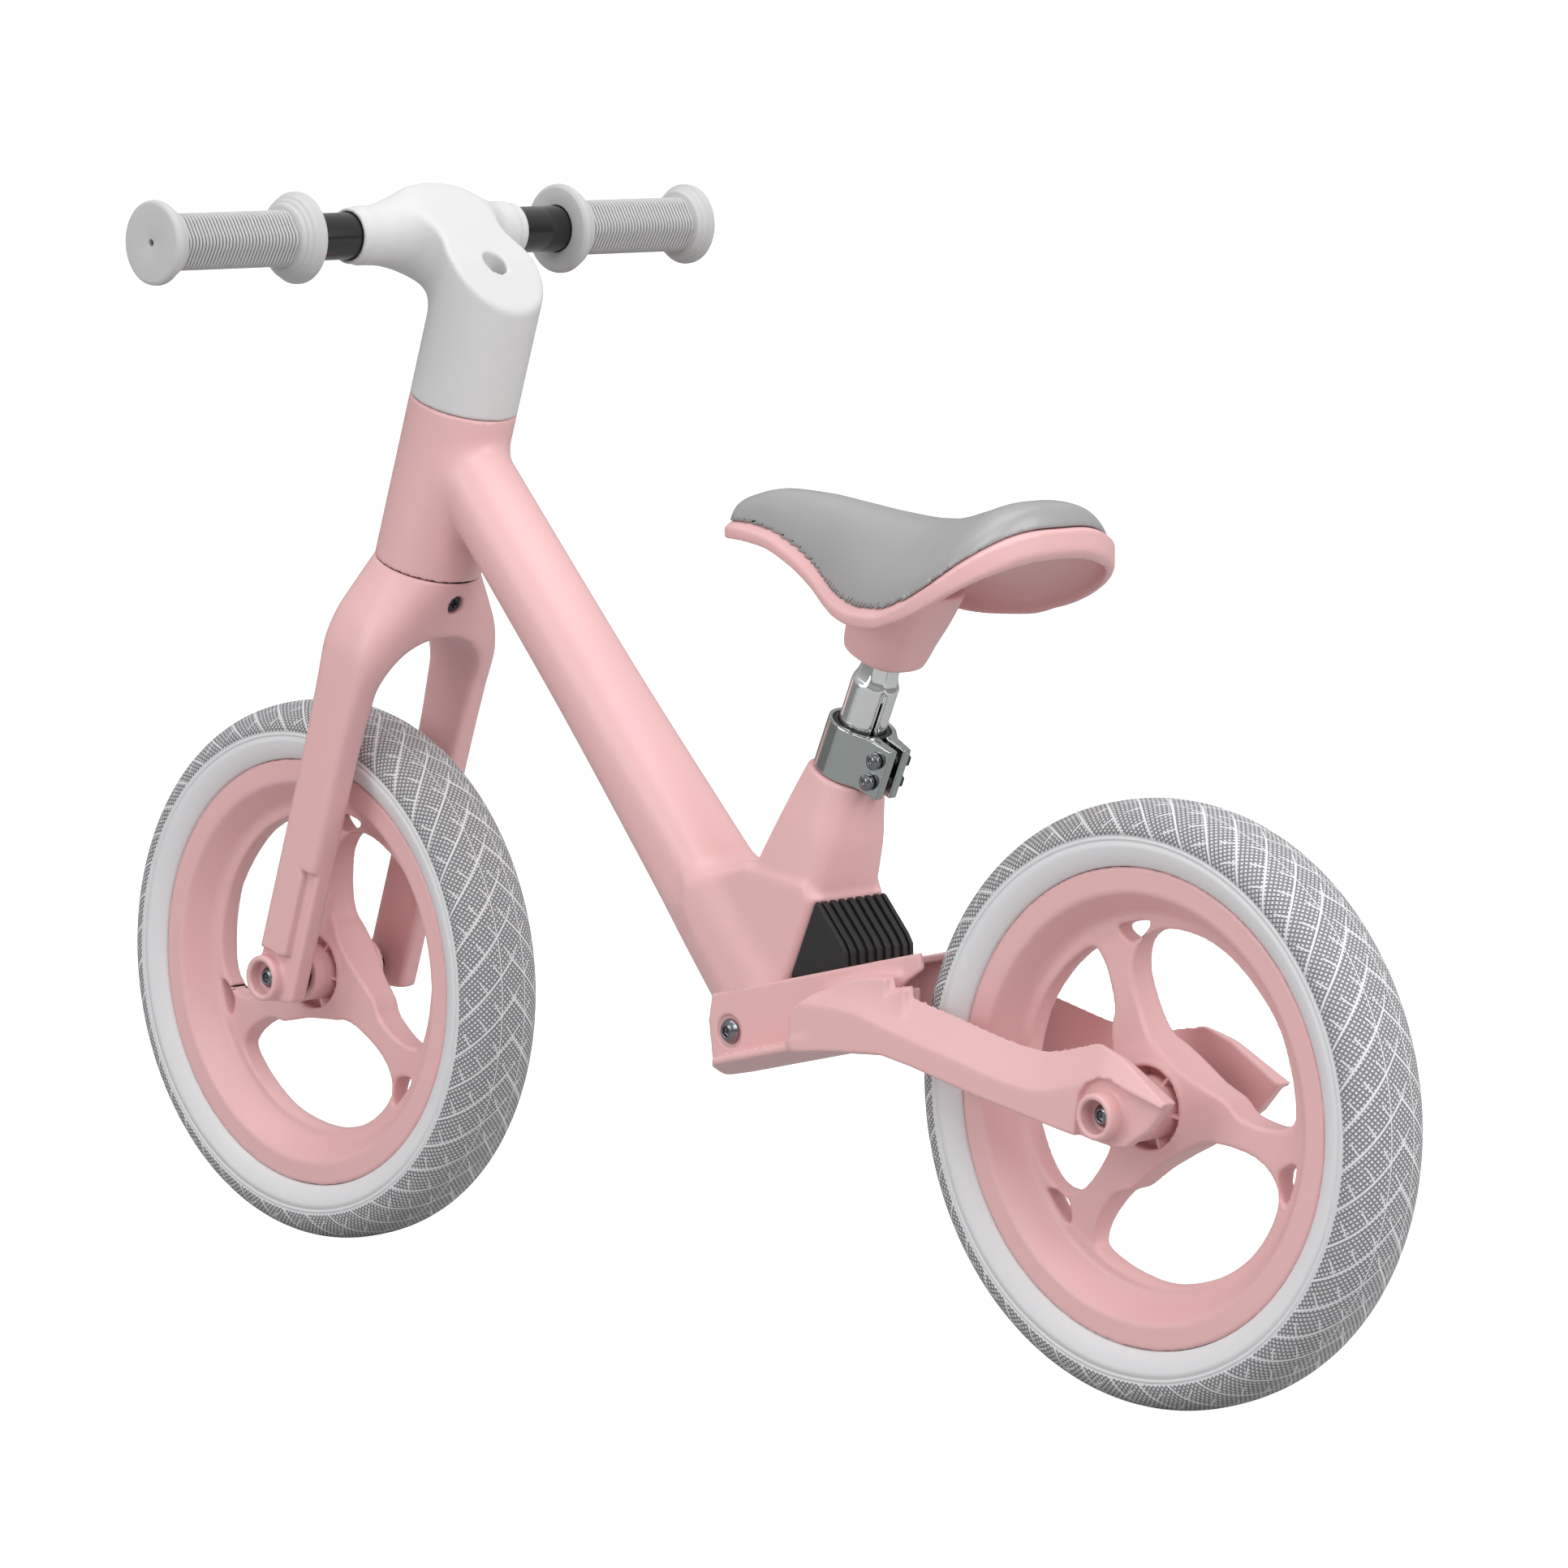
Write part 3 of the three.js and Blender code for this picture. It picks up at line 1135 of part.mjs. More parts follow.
function buildSwingarm() {
  const walls = [];
  for (const sign of [1, -1]) {
    const span = (a, b) => [sign * a, sign * b].sort((p, q) => p - q);
    const [px, pz] = PIVOT;
    walls.push(solid(plate(wallOutline(), ...span(TROUGH_INNER_Y, TROUGH_OUTER_Y))));
    walls.push(solid(plate(STAY_OUTLINE, ...span(STAY_INNER_Y, STAY_OUTER_Y))));
    const root = STAY_OUTLINE.filter(([x]) => x > WALL_REAR_X);
    walls.push(solid(plate(root, ...span(STAY_ROOT_INNER_Y, STAY_INNER_Y + 1))));
    walls.push(
      solid(barY(STAY_BOSS_RADIUS, ...span(STAY_INNER_Y + 1, STAY_BOSS_Y), -WHEELBASE / 2, AXLE_Z, ROUND)),
    );
    walls.push(solid(barY(LUG_RADIUS, ...span(TROUGH_INNER_Y - 0.6, TROUGH_OUTER_Y + 0.4), px, pz, ROUND)));
  }
  const deck = plate(
    [
      [DECK_FRONT_X, seamHeight(DECK_FRONT_X) - 1.5],
      [DECK_FRONT_X, seamHeight(DECK_FRONT_X) - 1.5 - DECK_THICKNESS],
      [DECK_REAR_X, seamHeight(DECK_REAR_X) - 1.5 - DECK_THICKNESS],
      [DECK_REAR_X, seamHeight(DECK_REAR_X) - 1.5],
    ],
    -TROUGH_INNER_Y - 1,
    TROUGH_INNER_Y + 1,
  );
  const bridgeX = DECK_REAR_X + 14;
  const bridge = plate(
    [
      [bridgeX, seamHeight(bridgeX) - 3],
      [bridgeX, plateTop(bridgeX) - 3],
      [bridgeX + 4, plateTop(bridgeX + 4) - 3],
      [bridgeX + 4, seamHeight(bridgeX + 4) - 3],
    ],
    -TROUGH_INNER_Y - 1,
    TROUGH_INNER_Y + 1,
  );
  let arm = join(...walls, solid(deck), solid(bridge), footPlateSolid());
  const tools = [barY(AXLE_RADIUS + CLEAR_BORE, -70, 70, -WHEELBASE / 2, AXLE_Z)];
  tools.push(barY(PIVOT_BOLT_DIAMETER / 2 + CLEAR_BORE, -70, 70, ...PIVOT));
  for (const sign of [1, -1]) {
    const span = (a, b) => [sign * a, sign * b].sort((p, q) => p - q);
    tools.push(barY(BOSS_RECESS_RADIUS - 0.5, ...span(BOSS_SEAT_Y, 60), -WHEELBASE / 2, AXLE_Z, ROUND));
    tools.push(barY(PIVOT_RECESS_RADIUS, ...span(PIVOT_SEAT_Y, 60), ...PIVOT, ROUND));
  }
  arm = cut(arm, ...tools.map(solid));
  piece("swingarm", arm, PINK);
}

function buildPivot() {
  const [x, z] = PIVOT;
  const bore = PIVOT_BOLT_DIAMETER / 2 + CLEAR_BORE;
  const sleeveEnd = TROUGH_INNER_Y - 0.6 - GAP;
  const sleeve = cut(
    solid(barY(PIVOT_SLEEVE_DIAMETER / 2, -sleeveEnd, sleeveEnd, x, z)),
    solid(barY(bore, -40, 40, x, z)),
  );
  piece("pivot_sleeve", sleeve, STEEL);
  const sleeveRadius = PIVOT_SLEEVE_DIAMETER / 2 + CLEAR_BORE;
  for (const [side, sign] of [["left", 1], ["right", -1]]) {
    const span = (a, b) => [sign * a, sign * b].sort((p, q) => p - q);
    const tube = barY(sleeveRadius + BUSH_WALL, ...span(8, LUG_HALF_WIDTH + 1), x, z, ROUND);
    const flange = barY(LUG_RADIUS - 1.5, ...span(LUG_HALF_WIDTH + GAP, LUG_HALF_WIDTH + 2.2), x, z, ROUND);
    const bush = cut(join(solid(tube), solid(flange)), solid(barY(sleeveRadius, -40, 40, x, z)));
    piece("pivot_bush_" + side, bush, BLACK_PLASTIC);
  }
  const tail = -(PIVOT_SEAT_Y + 5.4);
  const shank = solid(barY(PIVOT_BOLT_DIAMETER / 2, tail, PIVOT_SEAT_Y + 1));
  const head = buttonHead(PIVOT_HEAD_DIAMETER, PIVOT_SEAT_Y + GAP);
  const bolt = join(shank, head).translate([x, 0, z]);
  piece("pivot_bolt", bolt, STEEL);
  const nut = cut(
    solid(hexBar(NUT_ACROSS_FLATS, -PIVOT_SEAT_Y - 4.6, -PIVOT_SEAT_Y - GAP)),
    solid(barY(bore, -60, 0)),
  ).translate([x, 0, z]);
  piece("pivot_nut", nut, STEEL);
}

function buildRubberBlock() {
  const deckTop = (x) => seamHeight(x) - 1.5 + GAP;
  const lean = GAP * 1.6; // horizontal room to the frame's rear face
  const foot = [FRAME_REAR_FOOT[0] - lean, FRAME_REAR_FOOT[1]];
  const outline = [
    [DECK_FRONT_X + 1.5, deckTop(DECK_FRONT_X + 1.5)],
    foot,
    [BLOCK_CREST[0], BLOCK_CREST[1]],
    [BLOCK_CREST[0] - 2.5, BLOCK_CREST[1] - 0.5],
    BLOCK_SHOULDER,
    [BLOCK_HEEL_X, BLOCK_SHOULDER[1] - 5],
    [BLOCK_HEEL_X, deckTop(BLOCK_HEEL_X)],
  ];
  piece("suspension_block", solid(plate(outline, -BLOCK_HALF_WIDTH, BLOCK_HALF_WIDTH)), BLACK_RUBBER);
}

// ---------------------------------------------------------------- assembly
buildWheel("front", frontHub, FRONT_SPOKE);
buildWheel("rear", rearHub, REAR_SPOKE);
buildAxle("front", BLADE_INNER_Y, frontHub);
buildAxle("rear", STAY_INNER_Y, rearHub);
buildFork();
buildSteerer();
buildStem();
buildHandlebar();
buildGrip("grip_left", 1);
buildGrip("grip_right", -1);
buildMainFrame();
buildHeadBushes();
buildClamp();
buildSeatPost();
buildSaddle();
buildSwingarm();
buildPivot();
buildRubberBlock();

export default bike;
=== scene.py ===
import json
import math

import bpy
import numpy as np
from mathutils import Matrix, Vector


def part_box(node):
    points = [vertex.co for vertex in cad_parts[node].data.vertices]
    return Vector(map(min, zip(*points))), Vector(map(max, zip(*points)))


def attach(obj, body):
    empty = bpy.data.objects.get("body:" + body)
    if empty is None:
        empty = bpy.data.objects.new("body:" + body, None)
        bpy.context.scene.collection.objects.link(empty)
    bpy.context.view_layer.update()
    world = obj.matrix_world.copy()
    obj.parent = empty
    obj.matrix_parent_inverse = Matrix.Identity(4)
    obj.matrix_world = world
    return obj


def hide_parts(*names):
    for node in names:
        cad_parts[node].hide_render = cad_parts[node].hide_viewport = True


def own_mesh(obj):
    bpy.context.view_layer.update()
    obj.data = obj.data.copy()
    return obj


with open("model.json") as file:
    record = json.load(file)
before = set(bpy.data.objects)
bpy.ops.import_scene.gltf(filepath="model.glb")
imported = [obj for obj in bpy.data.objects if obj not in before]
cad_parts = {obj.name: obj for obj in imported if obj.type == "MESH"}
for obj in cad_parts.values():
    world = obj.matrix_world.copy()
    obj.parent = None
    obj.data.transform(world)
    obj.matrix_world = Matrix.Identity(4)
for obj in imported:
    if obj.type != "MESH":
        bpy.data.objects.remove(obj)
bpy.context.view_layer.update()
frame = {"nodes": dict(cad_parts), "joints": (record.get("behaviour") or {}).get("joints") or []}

# The balance bike in millimetres, in the frame's own axes: +X forward, +Y the rider's left, +Z up.
# Each casting and moulding is a distance field, negative inside, blended and cut with rounded
# edges and then skinned with an even mesh whose points sit on the field's own surface.

MM = 0.001


# ---------------------------------------------------------------- places from the frame
def joint(name):
    return next(j for j in frame["joints"] if j["name"] == name)


def joint_mm(name):
    return np.array(joint(name)["pos_m"]) / MM


def box_mm(node):
    low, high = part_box(node)
    return np.array(low) / MM, np.array(high) / MM


class Lean:
    """A frame tipped back about Y: its z runs up a leaning axis, its x stays forward."""

    def __init__(self, origin, axis):
        self.x, self.z = origin[0], origin[2]
        self.sin, self.cos = -axis[0], axis[2]

    def local(self, p):
        x, z = p[:, 0] - self.x, p[:, 2] - self.z
        return np.stack([x * self.cos + z * self.sin, p[:, 1], z * self.cos - x * self.sin], 1)

    def world(self, q):
        x = self.x + q[:, 0] * self.cos - q[:, 2] * self.sin
        z = self.z + q[:, 0] * self.sin + q[:, 2] * self.cos
        return np.stack([x, q[:, 1], z], 1)


class Shift:
    """A frame moved to a centre, its axes unturned."""

    def __init__(self, centre):
        self.centre = np.array(centre, float)

    def local(self, p):
        return p - self.centre

    def world(self, q):
        return q + self.centre


STEER = Lean(joint_mm("steering"), joint("steering")["axis"])
SEAT = Lean(joint_mm("seat_height"), joint("seat_height")["axis"])
FRONT_HUB = Shift(joint_mm("front_wheel_spin"))
REAR_HUB = Shift(joint_mm("rear_wheel_spin"))
PIVOT = joint_mm("suspension")
BAR = STEER.local(sum(box_mm("handlebar"))[None] / 2 * (1, 0, 1))[0]

# ---------------------------------------------------------------- sizes
TYRE_RADIUS = 150.0
RIM_RADIUS = 118.4
RIM_HALF_WIDTH = 20.6
BLADE_INNER_Y = 34.0
BLADE_OUTER_Y = 50.0
ARCH_TOP = 211.0
HEAD_BOTTOM = 245.2
HEAD_TOP = 338.8
HEAD_RADIUS = 29.4
SEAM = 0.5
BOSS_SEAT_Y = 44.4
TROUGH_INNER_Y = 27.6
TROUGH_OUTER_Y = 30.8
STAY_INNER_Y = 37.0
STAY_OUTER_Y = 47.0
CLAMP_HEIGHT = 28.0
BEARING_FACE_Y = 24.4
CHASSIS_SLOPE = 0.25
BOLT_RADIUS = 4.0
AXLE_BORE = 4.35
NUT_ACROSS = 13.0
SLEEVE_RADIUS = 6.0
POST_BORE = 12.85
BUSH_POCKET_RADIUS = 18.3
CROWN_SCREW_Z = 232
CLAMP_BOLT_X = -23.5
CLAMP_BOLT_HEIGHTS = {"lower": 7.5, "upper": 19.5}


def seam_height(x):
    return 176.0 + CHASSIS_SLOPE * (-23.0 - x)


def plate_top(x):
    return 146.5 + CHASSIS_SLOPE * (-40.0 - x)


# ---------------------------------------------------------------- distance fields
def soft_min(a, b, k):
    if k <= 0:
        return np.minimum(a, b)
    h = np.maximum(k - np.abs(a - b), 0) / k
    return np.minimum(a, b) - h * h * k / 4


def add(k, first, *rest):
    """Bodies joined with a fillet of about k."""
    for other in rest:
        first = soft_min(first, other, k)
    return first


def keep(k, first, *rest):
    """What all the bodies share, its edges rounded by about k."""
    for other in rest:
        first = -soft_min(-first, -other, k)
    return first


def cut(k, body, *tools):
    """body less each tool, the new edges rounded by about k."""
    return keep(k, body, *[-t for t in tools])


def outline(u, v, points):
    """Distance to a closed outline, negative inside."""
    points = np.asarray(points, float)
    best = np.full(u.shape, np.inf)
    sign = np.ones(u.shape)
    for a, b in zip(points, np.roll(points, 1, axis=0)):
        e = b - a
        du, dv = u - a[0], v - a[1]
        t = np.clip((du * e[0] + dv * e[1]) / (e @ e), 0, 1)
        best = np.minimum(best, (du - e[0] * t) ** 2 + (dv - e[1] * t) ** 2)
        above, below, side = v >= a[1], v < b[1], e[0] * dv > e[1] * du
        flip = (above & below & side) | (~above & ~below & ~side)
        sign = np.where(flip, -sign, sign)
    return sign * np.sqrt(best)


def thick(flat, w, low, high, edge=0.8):
    """A flat outline's distance given thickness along w, with rounded edges."""
    d = flat + edge
    h = np.abs(w - (low + high) / 2) - (high - low) / 2 + edge
    outside = np.hypot(np.maximum(d, 0), np.maximum(h, 0))
    return outside + np.minimum(np.maximum(d, h), 0) - edge


def plate(p, points, y0, y1, edge=0.8):
    return thick(outline(p[:, 0], p[:, 2], points), p[:, 1], y0, y1, edge)


def bar_y(p, radius, y0, y1, x=0.0, z=0.0, edge=0.6):
    return thick(np.hypot(p[:, 0] - x, p[:, 2] - z) - radius, p[:, 1], y0, y1, edge)


def bar_z(p, radius, z0, z1, edge=0.6):
    return thick(np.hypot(p[:, 0], p[:, 1]) - radius, p[:, 2], z0, z1, edge)


def bar_x(p, radius, x0, x1, z=0.0, edge=0.4):
    return thick(np.hypot(p[:, 1], p[:, 2] - z) - radius, p[:, 0], x0, x1, edge)


def curve(t, keys):
    """A smooth run through (t, value) pairs: cubic between them, with no overshoot."""
    t0, v0 = np.array(keys, float).T
    slope = np.diff(v0) / np.diff(t0)
    m = np.zeros(len(t0))
    both = slope[:-1] * slope[1:] > 0
    m[1:-1][both] = 2 * slope[:-1][both] * slope[1:][both] / (slope[:-1] + slope[1:])[both]
    m[0], m[-1] = slope[0], slope[-1]
    t = np.clip(t, t0[0], t0[-1])
    i = np.clip(np.searchsorted(t0, t, side="right") - 1, 0, len(t0) - 2)
    w = t0[i + 1] - t0[i]
    s = (t - t0[i]) / w
    h00, h10 = (1 + 2 * s) * (1 - s) ** 2, s * (1 - s) ** 2
    h01, h11 = s * s * (3 - 2 * s), s * s * (s - 1)
    return h00 * v0[i] + h10 * w * m[i] + h01 * v0[i + 1] + h11 * w * m[i + 1]


def swept(u, v, w, stations, edge=3.0):
    """A body along w: each station is (w, centre u, half u, half v, squareness)."""
    s = np.array(stations, float)
    cu, hu, hv, power = (curve(w, s[:, [0, i]]) for i in (1, 2, 3, 4))
    a, b = np.abs(u - cu) / hu, np.abs(v) / hv
    ratio = (a**power + b**power) ** (1 / power)
    d = (ratio - 1) * np.minimum(hu, hv)
    return thick(d, w, s[0, 0], s[-1, 0], edge)


def run_length(keys):
    """How far along the line each of its points lies."""
    steps = np.linalg.norm(np.diff(np.array(keys, float), axis=0), axis=1)
    return np.concatenate([[0], np.cumsum(steps)])


# ---------------------------------------------------------------- skinning a field
BLOCK = 4
CORNERS = [(i, j, k) for i in (0, 1) for j in (0, 1) for k in (0, 1)]
EDGES = [(a, b) for a in range(8) for b in range(a + 1, 8)
         if sum(abs(p - q) for p, q in zip(CORNERS[a], CORNERS[b])) == 1]


def sampled(field, low, high, step):
    """The field on an even grid, worked out only in the blocks that its surface may cross."""
    low = np.array(low, float) - 1.5 * step
    blocks = np.ceil((np.array(high) + 1.5 * step - low) / (BLOCK * step)).astype(int)
    ids = np.stack(np.meshgrid(*[np.arange(n) for n in blocks], indexing="ij"), -1).reshape(-1, 3)
    middle = field(low + (ids * BLOCK + BLOCK / 2) * step)
    values = np.repeat(np.repeat(np.repeat(middle.reshape(blocks), BLOCK, 0), BLOCK, 1), BLOCK, 2)
    values = np.pad(values, ((0, 1),) * 3, mode="edge")
    near = ids[np.abs(middle) < BLOCK * step * 0.87 * 1.7 + step]
    local = np.stack(np.meshgrid(*[np.arange(BLOCK + 1)] * 3, indexing="ij"), -1).reshape(-1, 3)
    points = (near[:, None] * BLOCK + local[None]).reshape(-1, 3)
    values[tuple(points.T)] = field(low + points * step)
    return low, values


def net(low, values, step):
    """Points and four-sided faces over the grid's change of sign."""
    inside = values < 0
    size = [n - 1 for n in values.shape]
    corner = [values[i:size[0] + i, j:size[1] + j, k:size[2] + k] for i, j, k in CORNERS]
    full = sum((c < 0).astype(np.int8) for c in corner)
    cells = np.argwhere((full > 0) & (full < 8))
    at = tuple(cells.T)
    c = [v[at] for v in corner]
    total, count = np.zeros((len(cells), 3)), np.zeros(len(cells))
    for a, b in EDGES:
        crossed = (c[a] < 0) != (c[b] < 0)
        t = np.where(crossed, c[a] / np.where(crossed, c[a] - c[b], 1), 0)
        spot = np.array(CORNERS[a]) + t[:, None] * (np.array(CORNERS[b]) - np.array(CORNERS[a]))
        total += spot * crossed[:, None]
        count += crossed
    points = low + (cells + total / count[:, None]) * step
    index = np.full(size, -1)
    index[at] = np.arange(len(cells))
    faces = []
    for axis in range(3):
        one, two = (axis + 1) % 3, (axis + 2) % 3
        ahead = [slice(None)] * 3
        ahead[axis] = slice(1, None)
        behind = [slice(None)] * 3
        behind[axis] = slice(0, -1)
        change = inside[tuple(ahead)] != inside[tuple(behind)]
        spots = np.argwhere(change)
        spots = spots[(spots[:, one] > 0) & (spots[:, two] > 0)]
        spots = spots[(spots[:, one] < size[one]) & (spots[:, two] < size[two])]
        ring = []
        for d1, d2 in ((1, 1), (0, 1), (0, 0), (1, 0)):
            cell = spots.copy()
            cell[:, one] -= d1
            cell[:, two] -= d2
            ring.append(index[tuple(cell.T)])
        quad = np.stack(ring, 1)
        outward = inside[tuple(spots.T)]
        faces.append(np.where(outward[:, None], quad, quad[:, ::-1]))
    return points, np.concatenate(faces)


def slope_of(field, points, reach=0.02):
    offsets = np.eye(3) * reach
    return np.stack([(field(points + o) - field(points - o)) / (2 * reach) for o in offsets], 1)


def cast(name, field, low, high, step, material, place=None):
    """A mesh of the field's surface, in metres, each point settled onto it."""
    start, values = sampled(field, low, high, step)
    points, faces = net(start, values, step)
    for _ in range(3):
        slope = slope_of(field, points)
        move = field(points)[:, None] * slope / np.maximum((slope**2).sum(1), 0.05)[:, None]
        reach = np.linalg.norm(move, axis=1, keepdims=True)
        points = points - move * np.minimum(1, 0.7 * step / np.maximum(reach, 1e-9))
    if place is not None:
        points = place.world(points)
    return mesh_object(name, points * MM, faces, material)


def mesh_object(name, points, faces, material):
    mesh = bpy.data.meshes.new(name)
    mesh.vertices.add(len(points))
    mesh.vertices.foreach_set("co", np.asarray(points, np.float32).ravel())
    width = faces.shape[1]
    mesh.loops.add(faces.size)
    mesh.loops.foreach_set("vertex_index", faces.astype(np.int32).ravel())
    mesh.polygons.add(len(faces))
    mesh.polygons.foreach_set("loop_start", np.arange(0, faces.size, width, dtype=np.int32))
    mesh.polygons.foreach_set("use_smooth", np.full(len(faces), True))
    mesh.update(calc_edges=True)
    mesh.validate()
    obj = bpy.data.objects.new(name, mesh)
    bpy.context.scene.collection.objects.link(obj)
    mesh.materials.append(material)
    return obj


def fit(obj, body, *nodes, slot=None):
    """The piece moves with its body and stands for its CAD nodes."""
    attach(obj, body)
    if nodes:
        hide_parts(*nodes)
    return obj


# ---------------------------------------------------------------- turned pieces
def lathe_y(name, profile, centre, material, sides=96, uv=None, flip=False):
    """A closed outline of (radius, y) turned about a line along Y; flip mirrors it across y = 0.

    uv, when given, is the run along the outline at each of its points and back at the first.
    """
    profile = np.asarray(profile, float)
    if flip:
        profile = profile[::-1] * (1, -1)
    n = len(profile)
    turn = np.arange(sides) * 2 * math.pi / sides
    x = np.outer(np.sin(turn), profile[:, 0])
    z = np.outer(np.cos(turn), profile[:, 0])
    y = np.broadcast_to(profile[:, 1], x.shape)
    points = np.stack([x, y, z], -1).reshape(-1, 3) + np.array(centre, float)
    i, j = np.meshgrid(np.arange(sides), np.arange(n), indexing="ij")
    i2, j2 = (i + 1) % sides, (j + 1) % n
    faces = np.stack([i * n + j, i2 * n + j, i2 * n + j2, i * n + j2], -1).reshape(-1, 4)
    radius, along = profile.T
    area = (radius * np.roll(along, -1) - np.roll(radius, -1) * along).sum()
    if area < 0:
        faces = faces[:, ::-1]
    obj = mesh_object(name, points * MM, faces, material)
    if uv is not None:
        around = np.stack([i, i + 1, i + 1, i], -1).reshape(-1, 4) / sides
        across = np.stack([uv[j], uv[j], uv[j + 1], uv[j + 1]], -1).reshape(-1, 4)
        if area < 0:
            around, across = around[:, ::-1], across[:, ::-1]
        layer = obj.data.uv_layers.new(name="section")
        layer.data.foreach_set("uv", np.stack([around, across], -1).astype(np.float32).ravel())
    return obj


def rounded(points, radius, steps=4):
    """An outline with each corner swapped for a short arc."""
    points = [np.array(p, float) for p in points]
    out = []
    for before, here, after in zip(points[-1:] + points[:-1], points, points[1:] + points[:1]):
        a, b = before - here, after - here
        reach = min(radius, 0.45 * np.linalg.norm(a), 0.45 * np.linalg.norm(b))
        start, end = here + a / np.linalg.norm(a) * reach, here + b / np.linalg.norm(b) * reach
        for i in range(steps + 1):
            t = i / steps
            out.append((1 - t) ** 2 * start + 2 * t * (1 - t) * here + t * t * end)
    return np.array(out)


# ---------------------------------------------------------------- material parts
def new_group(name, inputs, outputs):
    group = bpy.data.node_groups.new(name, "ShaderNodeTree")
    for label, kind, value in inputs:
        made = group.interface.new_socket(label, in_out="INPUT", socket_type=kind)
        made.default_value = value
    for label, kind in outputs:
        group.interface.new_socket(label, in_out="OUTPUT", socket_type=kind)
    return group, group.nodes.new("NodeGroupInput"), group.nodes.new("NodeGroupOutput")


def math_node(nodes, links, operation, *values):
    node = nodes.new("ShaderNodeMath")
    node.operation = operation
    for socket, value in zip(node.inputs, values):
        if isinstance(value, (int, float)):
            socket.default_value = value
        else:
            links.new(value, socket)
    return node.outputs[0]


def build_finish_group():
    """Slow drift of tone and gloss over a moulded or painted surface, with its fine grain."""
    group, source, sink = new_group(
        "surface_finish",
        [
            ("Light tone", "NodeSocketColor", (1, 1, 1, 1)),
            ("Dark tone", "NodeSocketColor", (1, 1, 1, 1)),
            ("Drift scale", "NodeSocketFloat", 9.0),
            ("Grain scale", "NodeSocketFloat", 900.0),
            ("Low roughness", "NodeSocketFloat", 0.4),
            ("High roughness", "NodeSocketFloat", 0.5),
        ],
        [
            ("Colour", "NodeSocketColor"),
            ("Roughness", "NodeSocketFloat"),
            ("Height", "NodeSocketFloat"),
        ],
    )
    nodes, links = group.nodes, group.links
    place = nodes.new("ShaderNodeTexCoord")
    drift = nodes.new("ShaderNodeTexNoise")
    drift.inputs["Detail"].default_value = 3
    grain = nodes.new("ShaderNodeTexNoise")
    grain.inputs["Detail"].default_value = 2
    links.new(place.outputs["Object"], drift.inputs["Vector"])
    links.new(place.outputs["Object"], grain.inputs["Vector"])
    links.new(source.outputs["Drift scale"], drift.inputs["Scale"])
    links.new(source.outputs["Grain scale"], grain.inputs["Scale"])
    mix = nodes.new("ShaderNodeMix")
    mix.data_type = "RGBA"
    links.new(drift.outputs["Fac"], mix.inputs["Factor"])
    links.new(source.outputs["Dark tone"], mix.inputs["A"])
    links.new(source.outputs["Light tone"], mix.inputs["B"])
    gloss = nodes.new("ShaderNodeMapRange")
    blend = math_node(nodes, links, "MULTIPLY", grain.outputs["Fac"], 0.5)
    both = math_node(nodes, links, "MULTIPLY_ADD", drift.outputs["Fac"], 0.5, blend)
    links.new(both, gloss.inputs["Value"])
    gloss.inputs["From Min"].default_value = 0.3
    gloss.inputs["From Max"].default_value = 0.7
    links.new(source.outputs["Low roughness"], gloss.inputs["To Min"])
    links.new(source.outputs["High roughness"], gloss.inputs["To Max"])
    links.new(mix.outputs["Result"], sink.inputs["Colour"])
    links.new(gloss.outputs["Result"], sink.inputs["Roughness"])
    links.new(grain.outputs["Fac"], sink.inputs["Height"])
    return group


FINISH = build_finish_group()


def finish_material(name, light, dark, rough, grain_scale, bump, **shader):
    """A Principled surface fed by the shared finish group."""
    material = bpy.data.materials.new(name)
    material.use_nodes = True
    nodes, links = material.node_tree.nodes, material.node_tree.links
    surface = nodes["Principled BSDF"]
    finish = nodes.new("ShaderNodeGroup")
    finish.node_tree = FINISH
    finish.inputs["Light tone"].default_value = (*light, 1)
    finish.inputs["Dark tone"].default_value = (*dark, 1)
    finish.inputs["Grain scale"].default_value = grain_scale
    finish.inputs["Low roughness"].default_value = rough[0]
    finish.inputs["High roughness"].default_value = rough[1]
    relief = nodes.new("ShaderNodeBump")
    relief.inputs["Strength"].default_value = bump
    relief.inputs["Distance"].default_value = 0.0002
    links.new(finish.outputs["Colour"], surface.inputs["Base Color"])
    links.new(finish.outputs["Roughness"], surface.inputs["Roughness"])
    links.new(finish.outputs["Height"], relief.inputs["Height"])
    links.new(relief.outputs["Normal"], surface.inputs["Normal"])
    for label, value in shader.items():
        surface.inputs[label.replace("_", " ")].default_value = value
    return material


PAINT = finish_material(
    "pink_satin_paint", (0.81, 0.475, 0.48), (0.8, 0.465, 0.47), (0.4, 0.48), 1400, 0.04,
    Coat_Weight=0.7, Coat_Roughness=0.45,
)
SHELL = finish_material(
    "pink_moulded_plastic", (0.81, 0.47, 0.475), (0.8, 0.46, 0.465), (0.4, 0.48), 1100, 0.06,
    Coat_Weight=0.6, Coat_Roughness=0.42,
)
GREY_PLASTIC = finish_material(
    "light_grey_plastic", (0.67, 0.67, 0.67), (0.64, 0.64, 0.64), (0.5, 0.6), 1600, 0.14,
)
GRIP_RUBBER = finish_material(
    "light_grey_rubber", (0.56, 0.56, 0.56), (0.52, 0.52, 0.52), (0.62, 0.74), 1900, 0.25,
)
# Painted shade: a dark grey core for the grips, seen only in the narrow gaps between their rings.
GRIP_GAP_SHADE = finish_material(
    "grip_core_painted_gap_shade", (0.16, 0.16, 0.16), (0.14, 0.14, 0.14), (0.6, 0.7), 1500, 0.1,
)
PAD = finish_material(
    "grey_saddle_cover", (0.34, 0.34, 0.34), (0.32, 0.32, 0.32), (0.34, 0.4), 2400, 0.1,
    Coat_Weight=0.8, Coat_Roughness=0.36,
)
